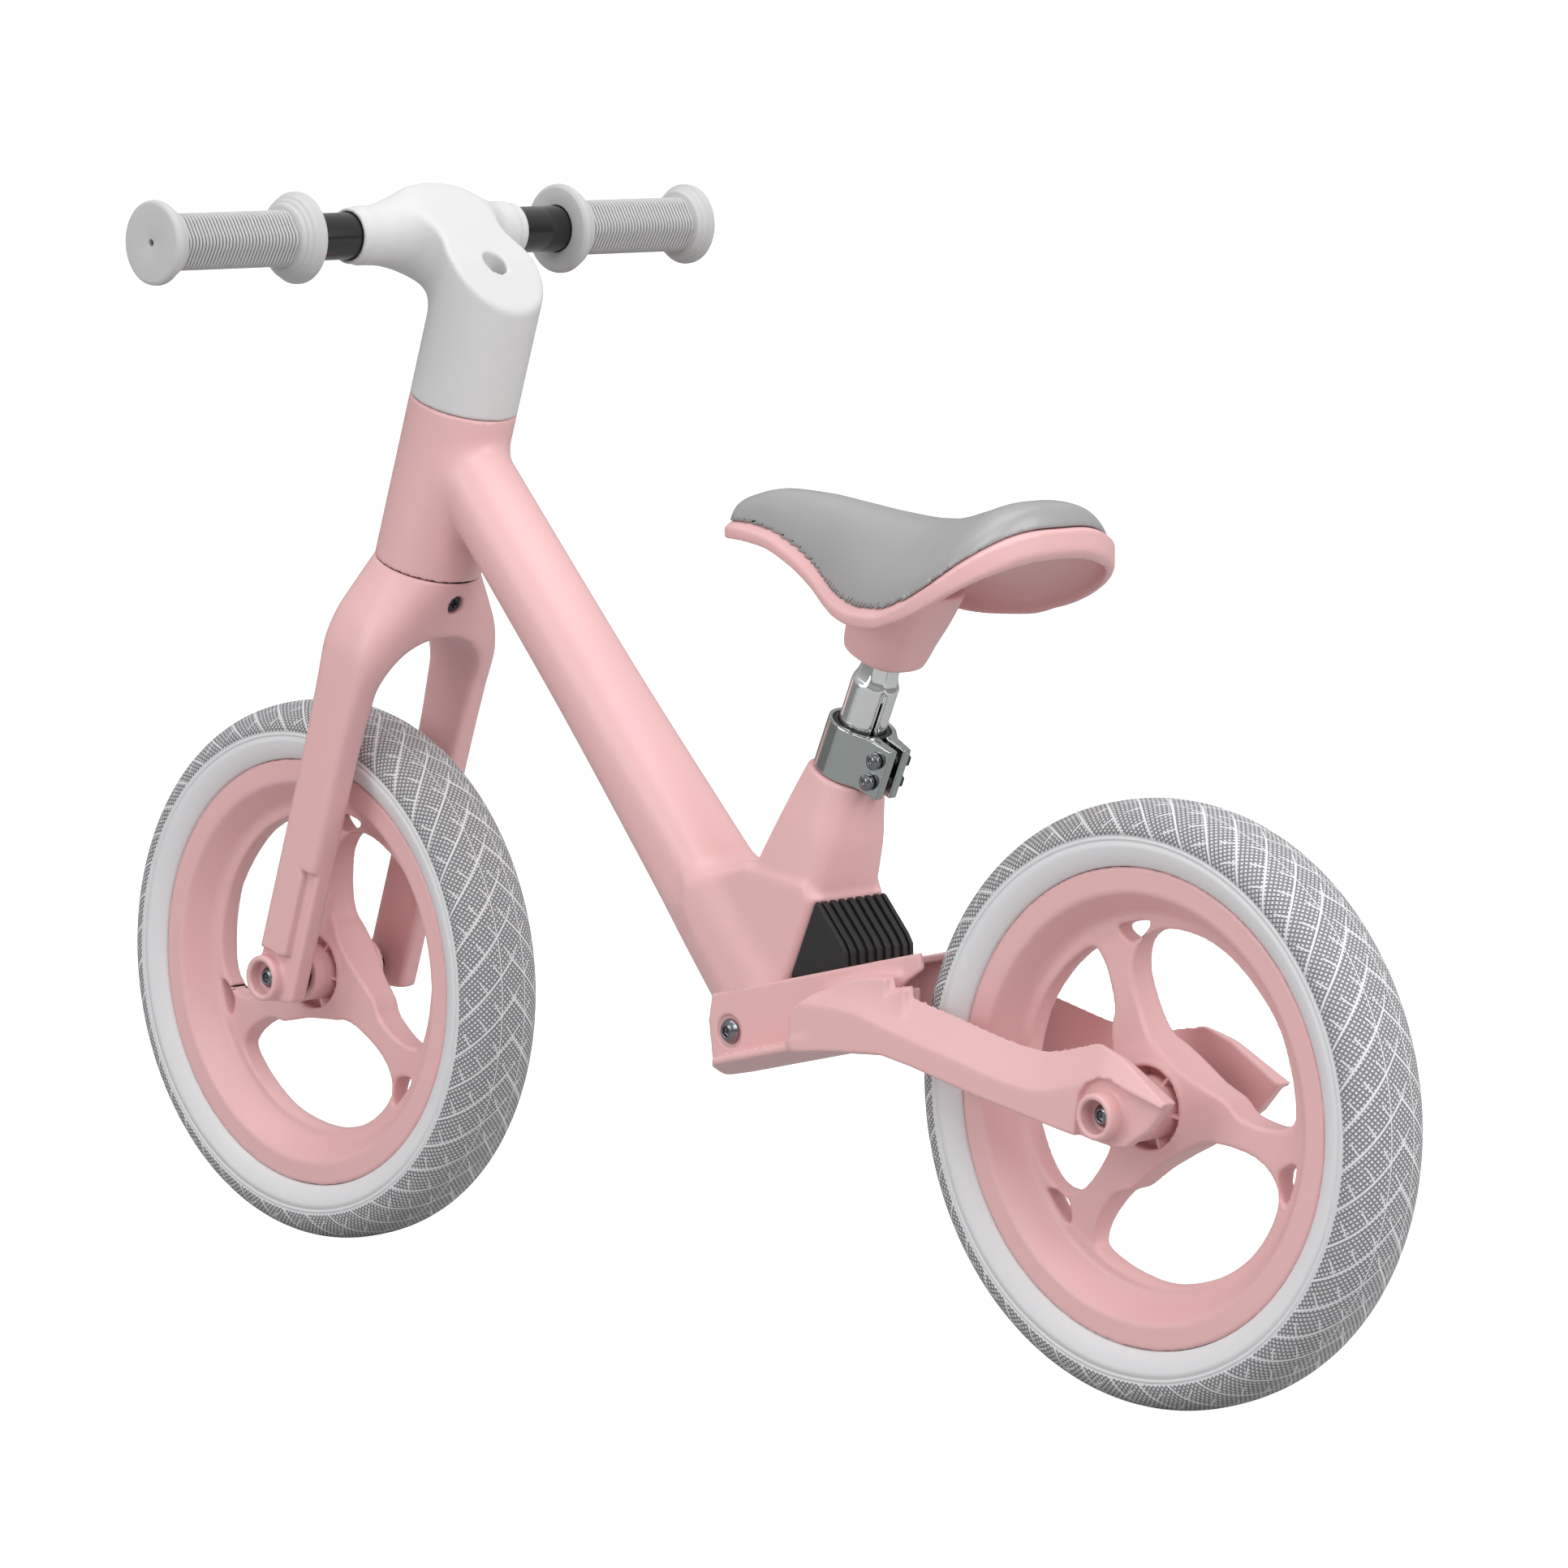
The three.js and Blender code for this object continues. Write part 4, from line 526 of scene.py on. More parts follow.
BLACK_RUBBER = finish_material(
    "black_rubber", (0.016, 0.015, 0.016), (0.011, 0.01, 0.011), (0.5, 0.65), 1300, 0.3,
)
BLACK_PLASTIC = finish_material(
    "black_plastic", (0.012, 0.012, 0.014), (0.008, 0.008, 0.01), (0.4, 0.5), 1500, 0.15,
)
BLACK_GLOSS = finish_material(
    "black_gloss_enamel", (0.008, 0.008, 0.008), (0.005, 0.005, 0.005), (0.14, 0.2), 500, 0.02,
    Coat_Weight=0.5, Coat_Roughness=0.08,
)
BLACK_STEEL = finish_material(
    "blackened_steel", (0.08, 0.08, 0.085), (0.05, 0.05, 0.055), (0.25, 0.4), 900, 0.1, Metallic=0.9,
)
ZINC = finish_material(
    "zinc_plated_steel", (0.3, 0.31, 0.33), (0.2, 0.21, 0.23), (0.16, 0.28), 700, 0.08, Metallic=1.0,
)
POLISHED = finish_material(
    "polished_steel", (0.5, 0.54, 0.53), (0.4, 0.44, 0.43), (0.14, 0.22), 500, 0.04, Metallic=1.0,
)
CHROME = finish_material(
    "chrome", (0.86, 0.88, 0.88), (0.8, 0.83, 0.83), (0.03, 0.07), 300, 0.01, Metallic=1.0,
)
SEAL = finish_material(
    "bearing_seal", (0.3, 0.2, 0.09), (0.2, 0.13, 0.06), (0.3, 0.45), 800, 0.1, Metallic=0.6,
)


# ---------------------------------------------------------------- repeated parts
def new_tree(name, sizes):
    """A geometry tree with its sizes as named inputs."""
    tree = bpy.data.node_groups.new(name, "GeometryNodeTree")
    tree.is_modifier = True
    for label, value in sizes.items():
        kind = "NodeSocketInt" if isinstance(value, int) else "NodeSocketFloat"
        tree.interface.new_socket(label, in_out="INPUT", socket_type=kind).default_value = value
    tree.interface.new_socket("Geometry", in_out="OUTPUT", socket_type="NodeSocketGeometry")
    return tree, tree.nodes, tree.links, tree.nodes.new("NodeGroupInput").outputs


def repeat_on(tree, points, piece, material):
    """One piece stood on every point, made real, smooth and given its material."""
    nodes, links = tree.nodes, tree.links
    place = nodes.new("GeometryNodeInstanceOnPoints")
    links.new(points, place.inputs["Points"])
    links.new(piece, place.inputs["Instance"])
    real = nodes.new("GeometryNodeRealizeInstances")
    links.new(place.outputs["Instances"], real.inputs["Geometry"])
    smooth = nodes.new("GeometryNodeSetShadeSmooth")
    links.new(real.outputs["Geometry"], smooth.inputs["Geometry"])
    paint = nodes.new("GeometryNodeSetMaterial")
    paint.inputs["Material"].default_value = material
    links.new(smooth.outputs["Geometry"], paint.inputs["Geometry"])
    links.new(paint.outputs["Geometry"], nodes.new("NodeGroupOutput").inputs["Geometry"])
    return place, smooth


def grown(name, tree, matrix):
    """The plain mesh that a node tree makes, placed by the matrix."""
    base = bpy.data.meshes.new(name)
    obj = bpy.data.objects.new(name, base)
    bpy.context.scene.collection.objects.link(obj)
    modifier = obj.modifiers.new("pattern", "NODES")
    modifier.node_group = tree
    bpy.context.view_layer.update()
    shown = obj.evaluated_get(bpy.context.evaluated_depsgraph_get())
    made = bpy.data.meshes.new_from_object(shown)
    obj.modifiers.remove(modifier)
    made.transform(matrix)
    obj.data = made
    return obj


# ---------------------------------------------------------------- main frame
TUBE_TOP = np.array([206.2, 446.9])
TUBE_END = np.array([-14.0, 203.5])
TUBE_RADIUS = 21.8
FOOT_HALF_WIDTH = 27.0
REAR_TOP = (-93.0, 231.0)
REAR_FOOT = (-75.0, 191.0)


def down_tube(p):
    along = (TUBE_END - TUBE_TOP) / np.linalg.norm(TUBE_END - TUBE_TOP)
    x, z = p[:, 0] - TUBE_TOP[0], p[:, 2] - TUBE_TOP[1]
    w = x * along[0] + z * along[1]
    u = x * along[1] - z * along[0]
    length = np.linalg.norm(TUBE_END - TUBE_TOP)
    stations = [
        (0, 0, TUBE_RADIUS, TUBE_RADIUS, 2),
        (length * 0.45, 0, TUBE_RADIUS + 0.2, TUBE_RADIUS + 1.2, 2.1),
        (length * 0.85, 0, TUBE_RADIUS + 0.7, 25.4, 2.8),
        (length, 0, TUBE_RADIUS + 1, 26.4, 3.6),
        (length + 44, 0, TUBE_RADIUS + 1, FOOT_HALF_WIDTH, 4.5),
    ]
    return swept(u, p[:, 1], w, stations, 2)


def seat_tube(q):
    stations = [
        (-114, -1.2, 26.4, FOOT_HALF_WIDTH, 7),
        (-66, -2.4, 24.6, FOOT_HALF_WIDTH - 0.6, 5.5),
        (-34, -2.2, 21.8, 24.4, 4.2),
        (-12, -0.9, 19.8, 21.2, 3),
        (-0.4, -0.4, 18.9, 19.6, 2.4),
    ]
    return swept(q[:, 0], q[:, 1], q[:, 2], stations, 0.6)


def frame_foot(p):
    points = [
        (-36, seam_height(-36) - 7),
        (-12, 200),
        (2, 220),
        (-2, 231),
        (-14, 236),
        (-27, 240.5),
        (-43, 246),
        (-87, 240),
        REAR_TOP,
        REAR_FOOT,
        (REAR_FOOT[0] + 2, seam_height(REAR_FOOT[0]) - 7),
    ]
    return plate(p, points, -FOOT_HALF_WIDTH, FOOT_HALF_WIDTH, 5)


def main_frame(p):
    s, q = STEER.local(p), SEAT.local(p)
    head = bar_z(s, HEAD_RADIUS, HEAD_BOTTOM + SEAM / 2, HEAD_TOP, 0.7)
    body = add(14, down_tube(p), frame_foot(p))
    body = add(3, body, seat_tube(q))
    body = add(6, body, head)
    past_end = np.maximum(HEAD_BOTTOM + SEAM / 2 - s[:, 2], s[:, 2] - HEAD_TOP)
    near_head = 36 - np.hypot(s[:, 0], s[:, 1])
    body = np.maximum(body, np.minimum(past_end, near_head))
    below = (seam_height(p[:, 0]) - 7 - p[:, 2]) * 0.97
    body = keep(1, body, below)
    neck = bar_z(q, 15.1, -8, CLAMP_HEIGHT - 3.4, 0.5)
    x, z = PIVOT[0], PIVOT[2]
    root = seam_height(x) + 3
    tongue = plate(p, [(x - 11, z), (x + 11, z), (x + 11, root), (x - 11, root)], -23.5, 23.5)
    lug = add(2, bar_y(p, 11, -23.5, 23.5, x, z), tongue)
    body = add(1.5, body, neck)
    body = add(0.5, body, lug)
    bores = [
        bar_z(q, POST_BORE, -96, CLAMP_HEIGHT + 9, 0),
        keep(0, np.abs(p[:, 1]) - 2.3, -q[:, 2] + 2, q[:, 0]),
        bar_y(p, 8.3, -60, 60, x, z),
        bar_z(s, 14.7, HEAD_BOTTOM - 9, HEAD_TOP + 9, 0),
        bar_z(s, BUSH_POCKET_RADIUS, HEAD_BOTTOM - 9, HEAD_BOTTOM + 11.3, 0),
        bar_z(s, BUSH_POCKET_RADIUS, HEAD_TOP - 11.3, HEAD_TOP + 9, 0),
    ]
    return cut(0.6, body, *bores)


def build_main_frame():
    obj = cast("main_frame_casting", main_frame, (-116, -30, 144), (258, 30, 479), 1.6, PAINT)
    fit(obj, "frame", "main_frame", slot="frame_paint")


def build_head_bushes():
    """A dark seal fills each seam of the head tube and lines its end."""
    for name, z0, z1, at_z in (
        ("lower_headset_bush", HEAD_BOTTOM - SEAM / 2, HEAD_BOTTOM + 11, HEAD_BOTTOM),
        ("upper_headset_bush", HEAD_TOP - 11, HEAD_TOP + SEAM, HEAD_TOP + SEAM / 2),
    ):
        def bush(q, z0=z0, z1=z1, at_z=at_z):
            seam_ring = bar_z(q, HEAD_RADIUS - 0.7, at_z - 0.28, at_z + 0.28, 0.05)
            body = add(0, bar_z(q, 18, z0, z1, 0.3), seam_ring)
            return cut(0.2, body, bar_z(q, 13.05, z0 - 9, z1 + 9, 0))

        reach = HEAD_RADIUS + 1
        low, high = (-reach, -reach, z0), (reach, reach, z1)
        obj = cast(name + "_seal", bush, low, high, 0.7, BLACK_PLASTIC, STEER)
        fit(obj, "frame", name, slot="black_plastic")


# ---------------------------------------------------------------- fork
def fork_outside(q):
    stations = [
        (-44, -0.5, 16.5, BLADE_OUTER_Y, 9),
        (130, -0.4, 16.8, BLADE_OUTER_Y, 8),
        (176, 0, 20, BLADE_OUTER_Y, 6),
        (196, 0, 24.5, BLADE_OUTER_Y - 0.6, 4.6),
        (212, 0, 27, 46, 3.6),
        (228, 0, 28.4, 38.6, 2.7),
        (HEAD_BOTTOM - SEAM / 2, 0, HEAD_RADIUS, HEAD_RADIUS, 2),
    ]
    return swept(q[:, 0], q[:, 1], q[:, 2], stations, 0.7)


def fork_arch(q):
    """The tunnel over the wheel: straight between the blades, round at its top."""
    y, z = np.abs(q[:, 1]), q[:, 2] - (ARCH_TOP - 36)
    top = ((y / BLADE_INNER_Y) ** 2.3 + (np.maximum(z, 0) / 36) ** 2.3) ** (1 / 2.3)
    return np.where(z > 0, (top - 1) * BLADE_INNER_Y, y - BLADE_INNER_Y)


def blade_pocket(q):
    """The recess over each blade's foot, with a step up its rear edge."""
    foot = outline(q[:, 0], q[:, 2], [
        (-30, -60), (30, -60), (30, 13), (18.6, 13), (12, 15.5), (5, 17), (-2, 16.4), (-8, 19),
        (-8.2, 22), (-8.2, 66), (-6, 70), (-30, 71),
    ])
    return keep(0.8, foot, 45.6 - np.abs(q[:, 1]))


AXLE_X = 5.0


def fork(q):
    p = STEER.world(q)
    body = cut(5, fork_outside(q), fork_arch(q))
    body = keep(2.5, body, 137 - p[:, 2])
    body = cut(1.2, body, blade_pocket(q))
    for side in (1, -1):
        span = sorted((side * (BLADE_INNER_Y + 0.5), side * 52))
        body = add(2.2, body, bar_y(q, 12.7, *span, AXLE_X, 0, 1.2))
        recess = sorted((side * BOSS_SEAT_Y, side * 60))
        body = cut(0.9, body, bar_y(q, 9.3, *recess, AXLE_X, 0, 0))
    tools = [
        bar_y(q, AXLE_BORE, -80, 80, AXLE_X, 0, 0),
        bar_z(q, 13, ARCH_TOP + 6, HEAD_BOTTOM + 9, 0),
        bar_x(q, 5.4, -60, -23, CROWN_SCREW_Z, 0),
        bar_x(q, 2.85, -60, -9, CROWN_SCREW_Z, 0),
    ]
    return cut(0.7, body, *tools)


def build_fork():
    obj = cast("fork_casting", fork, (-31, -53, -34), (31, 53, HEAD_BOTTOM), 1.5, PAINT, STEER)
    fit(obj, "steering", "fork", slot="frame_paint")


# ---------------------------------------------------------------- stem
def stem(q):
    neck = bar_z(q, HEAD_RADIUS, HEAD_TOP + SEAM, 446, 0.7)
    x0, z0 = BAR[0], BAR[2]
    y = np.abs(q[:, 1])
    cx = curve(y, [(0, x0 - 7.6), (14, x0 - 6.8), (30, x0 - 2.6), (46, x0), (59, x0)])
    cz = curve(y, [(0, z0 + 2.4), (14, z0 + 2.4), (30, z0 + 1.4), (46, z0), (59, z0)])
    hx = curve(y, [(0, 24.6), (14, 23.4), (30, 18.2), (46, 15.2), (59, 15)])
    hz = curve(y, [(0, 25.6), (14, 24.2), (30, 18.8), (46, 15.3), (59, 15)])
    power = curve(y, [(0, 3.6), (14, 3.2), (30, 2.4), (46, 2), (59, 2)])
    ratio = (np.abs((q[:, 0] - cx) / hx) ** power + np.abs((q[:, 2] - cz) / hz) ** power) ** (1 / power)
    arms = thick((ratio - 1) * np.minimum(hx, hz), q[:, 1], -59, 59, 1)
    collar = thick(np.hypot(q[:, 0] - x0, q[:, 2] - z0) - 15.9, y, 0, 53, 0.8)
    body = add(1.5, arms, collar)
    body = add(20, neck, body)
    facet = outline(q[:, 0], q[:, 2], [
        (-60, 383), (-HEAD_RADIUS, 401.2), (0, 419.4), (34, 434.2), (52, 440.4), (64, 443), (90, 443),
        (90, 520), (-60, 520),
    ])
    body = cut(3, body, facet)
    tools = [
        bar_y(q, 12.9, -90, 90, x0, z0, 0),
        bar_z(q, 13, HEAD_TOP - 5, z0 - 22.7, 0),
        bar_z(q, 7, HEAD_TOP, 470, 0),
    ]
    return cut(0.9, body, *tools)


def build_stem():
    low = (-31, -60, HEAD_TOP)
    obj = cast("stem_moulding", stem, low, (74, 60, 446), 1.3, GREY_PLASTIC, STEER)
    fit(obj, "steering", "stem", slot="grey_plastic")


# ---------------------------------------------------------------- handlebar and grips
def build_handlebar():
    centre = STEER.world(np.array([[BAR[0], 0, BAR[2]]]))[0]
    profile = rounded([(10.6, -189.9), (12.6, -189.9), (12.6, 189.9), (10.6, 189.9)], 0.4, 2)
    obj = lathe_y("handlebar_tube", profile, centre, BLACK_GLOSS, 64)
    fit(obj, "steering", "handlebar", slot="black_gloss")
    return centre


def grip_body_profile():
    """Inner flange, its three steps, the core, the outer steps and the end disc."""
    outer = [
        (12.9, 92), (22.4, 92), (24.4, 93.4), (24.5, 96), (23.2, 97.6),
        (22.6, 98.2), (22.4, 99.8), (21.4, 100.4), (20.6, 100.9), (20.4, 102.2), (19.4, 102.8),
        (18.6, 103.2), (18.4, 104.6), (17.2, 105.4), (13.3, 106),
        (13.3, 182), (18.2, 182.6), (18.8, 184), (19.2, 185), (20, 185.6), (20.3, 187),
        (20.9, 187.8), (22, 188.6), (22.3, 190), (22, 192.4), (20.6, 193.4),
    ]
    cap = [(1.9, 193.4), (1.9, 190.4), (12.9, 190.4)]
    return np.array(outer + cap, float)


def ribbed_barrel(name, centre, side):
    """Fine hexagonal rings along the grip, by a node tree that repeats one ring."""
    tree, nodes, links, size = new_tree(name + "_rings", {
        "Rings": 34,
        "Pitch": 2.26 * MM,
        "Corner radius": 16.2 * MM,
        "Ring thickness": 0.8 * MM,
    })
    six_sided = nodes.new("GeometryNodeCurvePrimitiveCircle")
    six_sided.inputs["Resolution"].default_value = 6
    links.new(size["Corner radius"], six_sided.inputs["Radius"])
    soft = nodes.new("GeometryNodeFilletCurve")
    soft.mode = "POLY"
    soft.inputs["Count"].default_value = 5
    soft.inputs["Radius"].default_value = 7 * MM
    links.new(six_sided.outputs["Curve"], soft.inputs["Curve"])
    section = nodes.new("GeometryNodeCurvePrimitiveCircle")
    section.inputs["Resolution"].default_value = 8
    links.new(size["Ring thickness"], section.inputs["Radius"])
    ring = nodes.new("GeometryNodeCurveToMesh")
    links.new(soft.outputs["Curve"], ring.inputs["Curve"])
    links.new(section.outputs["Curve"], ring.inputs["Profile Curve"])
    row = nodes.new("GeometryNodeMeshLine")
    links.new(size["Rings"], row.inputs["Count"])
    step = nodes.new("ShaderNodeCombineXYZ")
    links.new(size["Pitch"], step.inputs["Z"])
    links.new(step.outputs["Vector"], row.inputs["Offset"])
    repeat_on(tree, row.outputs["Mesh"], ring.outputs["Mesh"], GRIP_RUBBER)
    turn = Matrix.Rotation(math.radians(-90 * side), 4, "X")
    start = Matrix.Translation(Vector((centre[0], side * 106.8, centre[2])) * MM)
    return grown(name, tree, start @ turn)


def build_grips(centre):
    for side, node in ((1, "grip_left"), (-1, "grip_right")):
        profile = rounded(grip_body_profile(), 0.5, 2)
        middle = (centre[0], 0, centre[2])
        obj = lathe_y(node + "_body", profile, middle, GRIP_RUBBER, 96, flip=side < 0)
        fit(obj, "steering", node, slot="grip_rubber")
        # A dark core just under the rings paints the shade in the gaps between them.
        gap_shade_profile = np.array([(12.4, 106.4), (13.8, 106.4), (13.8, 181.6), (12.4, 181.6)])
        dark = lathe_y(node + "_sleeve", gap_shade_profile, middle, GRIP_GAP_SHADE, 96, flip=side < 0)
        fit(dark, "steering", slot="grip_rubber")
        rings = ribbed_barrel(node + "_ribs", centre, side)
        fit(rings, "steering", slot="grip_rubber")


# ---------------------------------------------------------------- wheels
WINDOW = [
    # radius, degrees round from the spoke before it
    (85, 7.5), (72, 5), (54, 8), (46, 17), (34, 31), (27, 60), (30, 90), (34, 102), (46, 109.5),
    (66, 111.5), (80, 106.5), (86.5, 98), (91, 85), (93, 69), (91.5, 43), (89.5, 27), (88, 14),
]
SPOKE_HOLE = [(81, 109.5), (90, 115), (90.4, 101.5)]
SECTOR_MIDDLE = 58


def polar(points):
    return np.array([(r * math.cos(math.radians(a)), r * math.sin(math.radians(a))) for r, a in points])


def through(points, steps):
    """A smooth closed curve through the points."""
    p0, p1, p2, p3 = (np.roll(points, k, axis=0) for k in (1, 0, -1, -2))
    out = []
    for t in np.arange(steps) / steps:
        square = (2 * p0 - 5 * p1 + 4 * p2 - p3) * t**2
        cube = (3 * p1 - p0 - 3 * p2 + p3) * t**3
        out.append(0.5 * (2 * p1 + (p2 - p0) * t + square + cube))
    return np.stack(out, 1).reshape(-1, 2)


def rim_field(first_spoke):
    window = through(polar(WINDOW), 3)
    hole = through(polar(SPOKE_HOLE), 4)

    def rim(q):
        r, y = np.hypot(q[:, 0], q[:, 2]), np.abs(q[:, 1])
        turn = np.degrees(np.arctan2(q[:, 2], -q[:, 0])) - first_spoke
        turn = np.radians((turn - SECTOR_MIDDLE + 60) % 120 - 60 + SECTOR_MIDDLE)
        u, v = r * np.cos(turn), r * np.sin(turn)
        channel = outline(r, y, [
            (112.7, -9), (112.7, 18), (RIM_RADIUS, 18), (RIM_RADIUS, RIM_HALF_WIDTH),
            (106.5, RIM_HALF_WIDTH), (104.8, 19.4), (93.6, 4.4), (89.6, 4.4), (87, -9),
        ])
        half = curve(r, [
            (20, 13.5), (26, 11.4), (34, 9.6), (46, 8.6), (64, 8), (80, 6.4), (88, 5), (94, 4.4),
        ])
        web = thick(r - 95, y, -half, half, 0)
        cone = outline(r, y, [
            (0, -9), (0, 9), (20.5, 9), (20.6, 14.6), (22.6, 14.6), (23.4, 12.8), (27, 10.4),
            (34, 6), (34, -9),
        ])
        web = cut(1.8, add(4, web, cone), outline(u, v, window))
        body = add(5, channel, web)
        body = cut(1.6, body, outline(u, v, hole))
        pocket = thick(np.abs(r - 18.05) - 2.45, y, 6, 40, 0)
        body = cut(0.9, body, pocket)
        body = add(0.8, body, thick(r - 15.6, y, -25, 25, 0.7))
        return cut(0.6, body, thick(r - 11.3, y, 17.1, 60, 0), r - 9)

    return rim


def hub_ribs_tree():
    """Short radial ribs between the hub's ring and its barrel, both faces."""
    tree, nodes, links, size = new_tree("hub_ribs", {
        "Ribs": 6,
        "Middle radius": 18.0 * MM,
        "Length": 5.6 * MM,
        "Thickness": 1.7 * MM,
        "Width": 27.6 * MM,
    })
    rib = nodes.new("GeometryNodeMeshCube")
    sides = nodes.new("ShaderNodeCombineXYZ")
    for label, axis in (("Length", "X"), ("Thickness", "Y"), ("Width", "Z")):
        links.new(size[label], sides.inputs[axis])
    links.new(sides.outputs["Vector"], rib.inputs["Size"])
    circle = nodes.new("GeometryNodeMeshCircle")
    links.new(size["Ribs"], circle.inputs["Vertices"])
    links.new(size["Middle radius"], circle.inputs["Radius"])
    spot = nodes.new("GeometryNodeInputPosition")
    align = nodes.new("FunctionNodeAlignRotationToVector")
    align.axis = "X"
    links.new(spot.outputs["Position"], align.inputs["Vector"])
    place, smooth = repeat_on(tree, circle.outputs["Mesh"], rib.outputs["Mesh"], PAINT)
    smooth.inputs["Shade Smooth"].default_value = False
    links.new(align.outputs["Rotation"], place.inputs["Rotation"])
    return tree


HUB_RIBS = hub_ribs_tree()


def tyre_profile():
    """The tyre's section from bead to bead as (radius, y), with fine grooves round each shoulder."""
    half = [
        (113, 0), (113, 17.6), (118.8, 17.7), (118.8, 20.4), (119.6, 21.4), (122, 23.1), (125.4, 24.7),
        (128.4, 25.5), (131, 25.9), (131.3, 25.3), (131.9, 25.3), (132.2, 26), (133.2, 26.05),
        (133.5, 25.4), (134.1, 25.4), (134.4, 25.9),
    ]
    crown = []
    for i in range(1, 13):
        a = math.radians(90 * i / 12)
        crown.append((134.4 + (TYRE_RADIUS - 134.4) * math.sin(a), 25.9 * math.cos(a) ** 0.82))
    crown[-1] = (TYRE_RADIUS, 0)
    right = half[1:] + crown
    left = [(r, -y) for r, y in right[:-1]][::-1]
    return np.array([half[0]] + right + left, float)


def build_tread_group():
    """Diamond knurl crossed by smooth swept lines, over the tyre's own section coordinates."""
    group, source, sink = new_group(
        "tread_relief",
        [
            ("Knobs around", "NodeSocketFloat", 300.0),
            ("Knob pitch", "NodeSocketFloat", 3.15),
            ("Chevrons around", "NodeSocketFloat", 44.0),
            ("Tread edge", "NodeSocketFloat", 33.4),
        ],
        [("Height", "NodeSocketFloat")],
    )
    nodes, links = group.nodes, group.links

    def m(operation, *values):
        return math_node(nodes, links, operation, *values)

    uv = nodes.new("ShaderNodeUVMap")
    uv.uv_map = "section"
    parts = nodes.new("ShaderNodeSeparateXYZ")
    links.new(uv.outputs["UV"], parts.inputs["Vector"])
    around, across = parts.outputs["X"], parts.outputs["Y"]
    a = m("MULTIPLY", around, source.outputs["Knobs around"])
    b = m("DIVIDE", across, source.outputs["Knob pitch"])
    one = m("PINGPONG", m("ADD", a, b), 0.5)
    two = m("PINGPONG", m("SUBTRACT", a, b), 0.5)
    knob = m("MULTIPLY", m("SMOOTH_MIN", one, two, 0.06), 2.0)
    knob = m("MINIMUM", m("MULTIPLY", knob, 1.7), 1.0)
    side = m("ABSOLUTE", across)
    c = m("MULTIPLY", around, source.outputs["Chevrons around"])
    sweep = m("ADD", c, m("MULTIPLY", side, 0.05))
    long_line = m("PINGPONG", sweep, 0.5)
    branch = m("PINGPONG", m("SUBTRACT", c, m("MULTIPLY", side, 0.07)), 0.5)
    near = m("LESS_THAN", m("FRACT", sweep), 0.55)
    thin_long = m("LESS_THAN", long_line, 0.04)
    thin_branch = m("MULTIPLY", m("LESS_THAN", branch, 0.035), near)
    ring = m("LESS_THAN", m("ABSOLUTE", m("SUBTRACT", side, 8.2)), 0.3)
    line = m("MAXIMUM", m("MAXIMUM", thin_long, thin_branch), ring)
    relief = m("MAXIMUM", m("MULTIPLY", knob, m("SUBTRACT", 1.0, line)), line)
    tread = m("LESS_THAN", side, source.outputs["Tread edge"])
    links.new(m("ADD", m("MULTIPLY", relief, tread), m("SUBTRACT", 1.0, tread)), sink.inputs["Height"])
    return group


TREAD = build_tread_group()


def tyre_material():
    material = finish_material(
        "grey_tyre_foam", (0.76, 0.76, 0.775), (0.73, 0.73, 0.745), (0.55, 0.65), 1500, 0.1,
    )
    nodes, links = material.node_tree.nodes, material.node_tree.links
    surface = nodes["Principled BSDF"]
    finish = next(n for n in nodes if n.type == "GROUP")
    grain = next(n for n in nodes if n.type == "BUMP")
    tread = nodes.new("ShaderNodeGroup")
    tread.node_tree = TREAD
    relief = nodes.new("ShaderNodeBump")
    relief.inputs["Strength"].default_value = 1.0
    relief.inputs["Distance"].default_value = 0.0011
    links.new(tread.outputs["Height"], relief.inputs["Height"])
    links.new(grain.outputs["Normal"], relief.inputs["Normal"])
    links.new(relief.outputs["Normal"], surface.inputs["Normal"])
    # Painted shade: the base colour is darkened in the tread's low grooves, more where the tread height
    # is lower.
    painted_groove_shade = nodes.new("ShaderNodeMix")
    painted_groove_shade.data_type = "RGBA"
    painted_groove_shade.blend_type = "MULTIPLY"
    painted_groove_shade.inputs["B"].default_value = (0.3, 0.3, 0.32, 1)
    low = math_node(nodes, links, "SUBTRACT", 1.0, tread.outputs["Height"])
    links.new(math_node(nodes, links, "MULTIPLY", low, 0.9), painted_groove_shade.inputs["Factor"])
    links.new(finish.outputs["Colour"], painted_groove_shade.inputs["A"])
    links.new(painted_groove_shade.outputs["Result"], surface.inputs["Base Color"])
    return material


TYRE = tyre_material()


def bearing(prefix, side, hub, body):
    name = f"{prefix}_bearing_{'left' if side > 0 else 'right'}"
    f = BEARING_FACE_Y
    race = rounded([
        (8.7, f), (11, f), (11, f - 7), (AXLE_BORE, f - 7),
        (AXLE_BORE, f), (6.2, f), (6.2, f - 0.7), (8.7, f - 0.7),
    ], 0.3, 2)
    obj = lathe_y(name + "_races", race, hub.centre, ZINC, 64, flip=side < 0)
    fit(obj, body, name, slot="bolt_steel")
    seal = rounded([(6.35, f - 0.66), (6.35, f - 0.3), (8.55, f - 0.3), (8.55, f - 0.66)], 0.1, 2)
    ring = lathe_y(name + "_seal", seal, hub.centre, SEAL, 64, flip=side < 0)
    fit(ring, body)


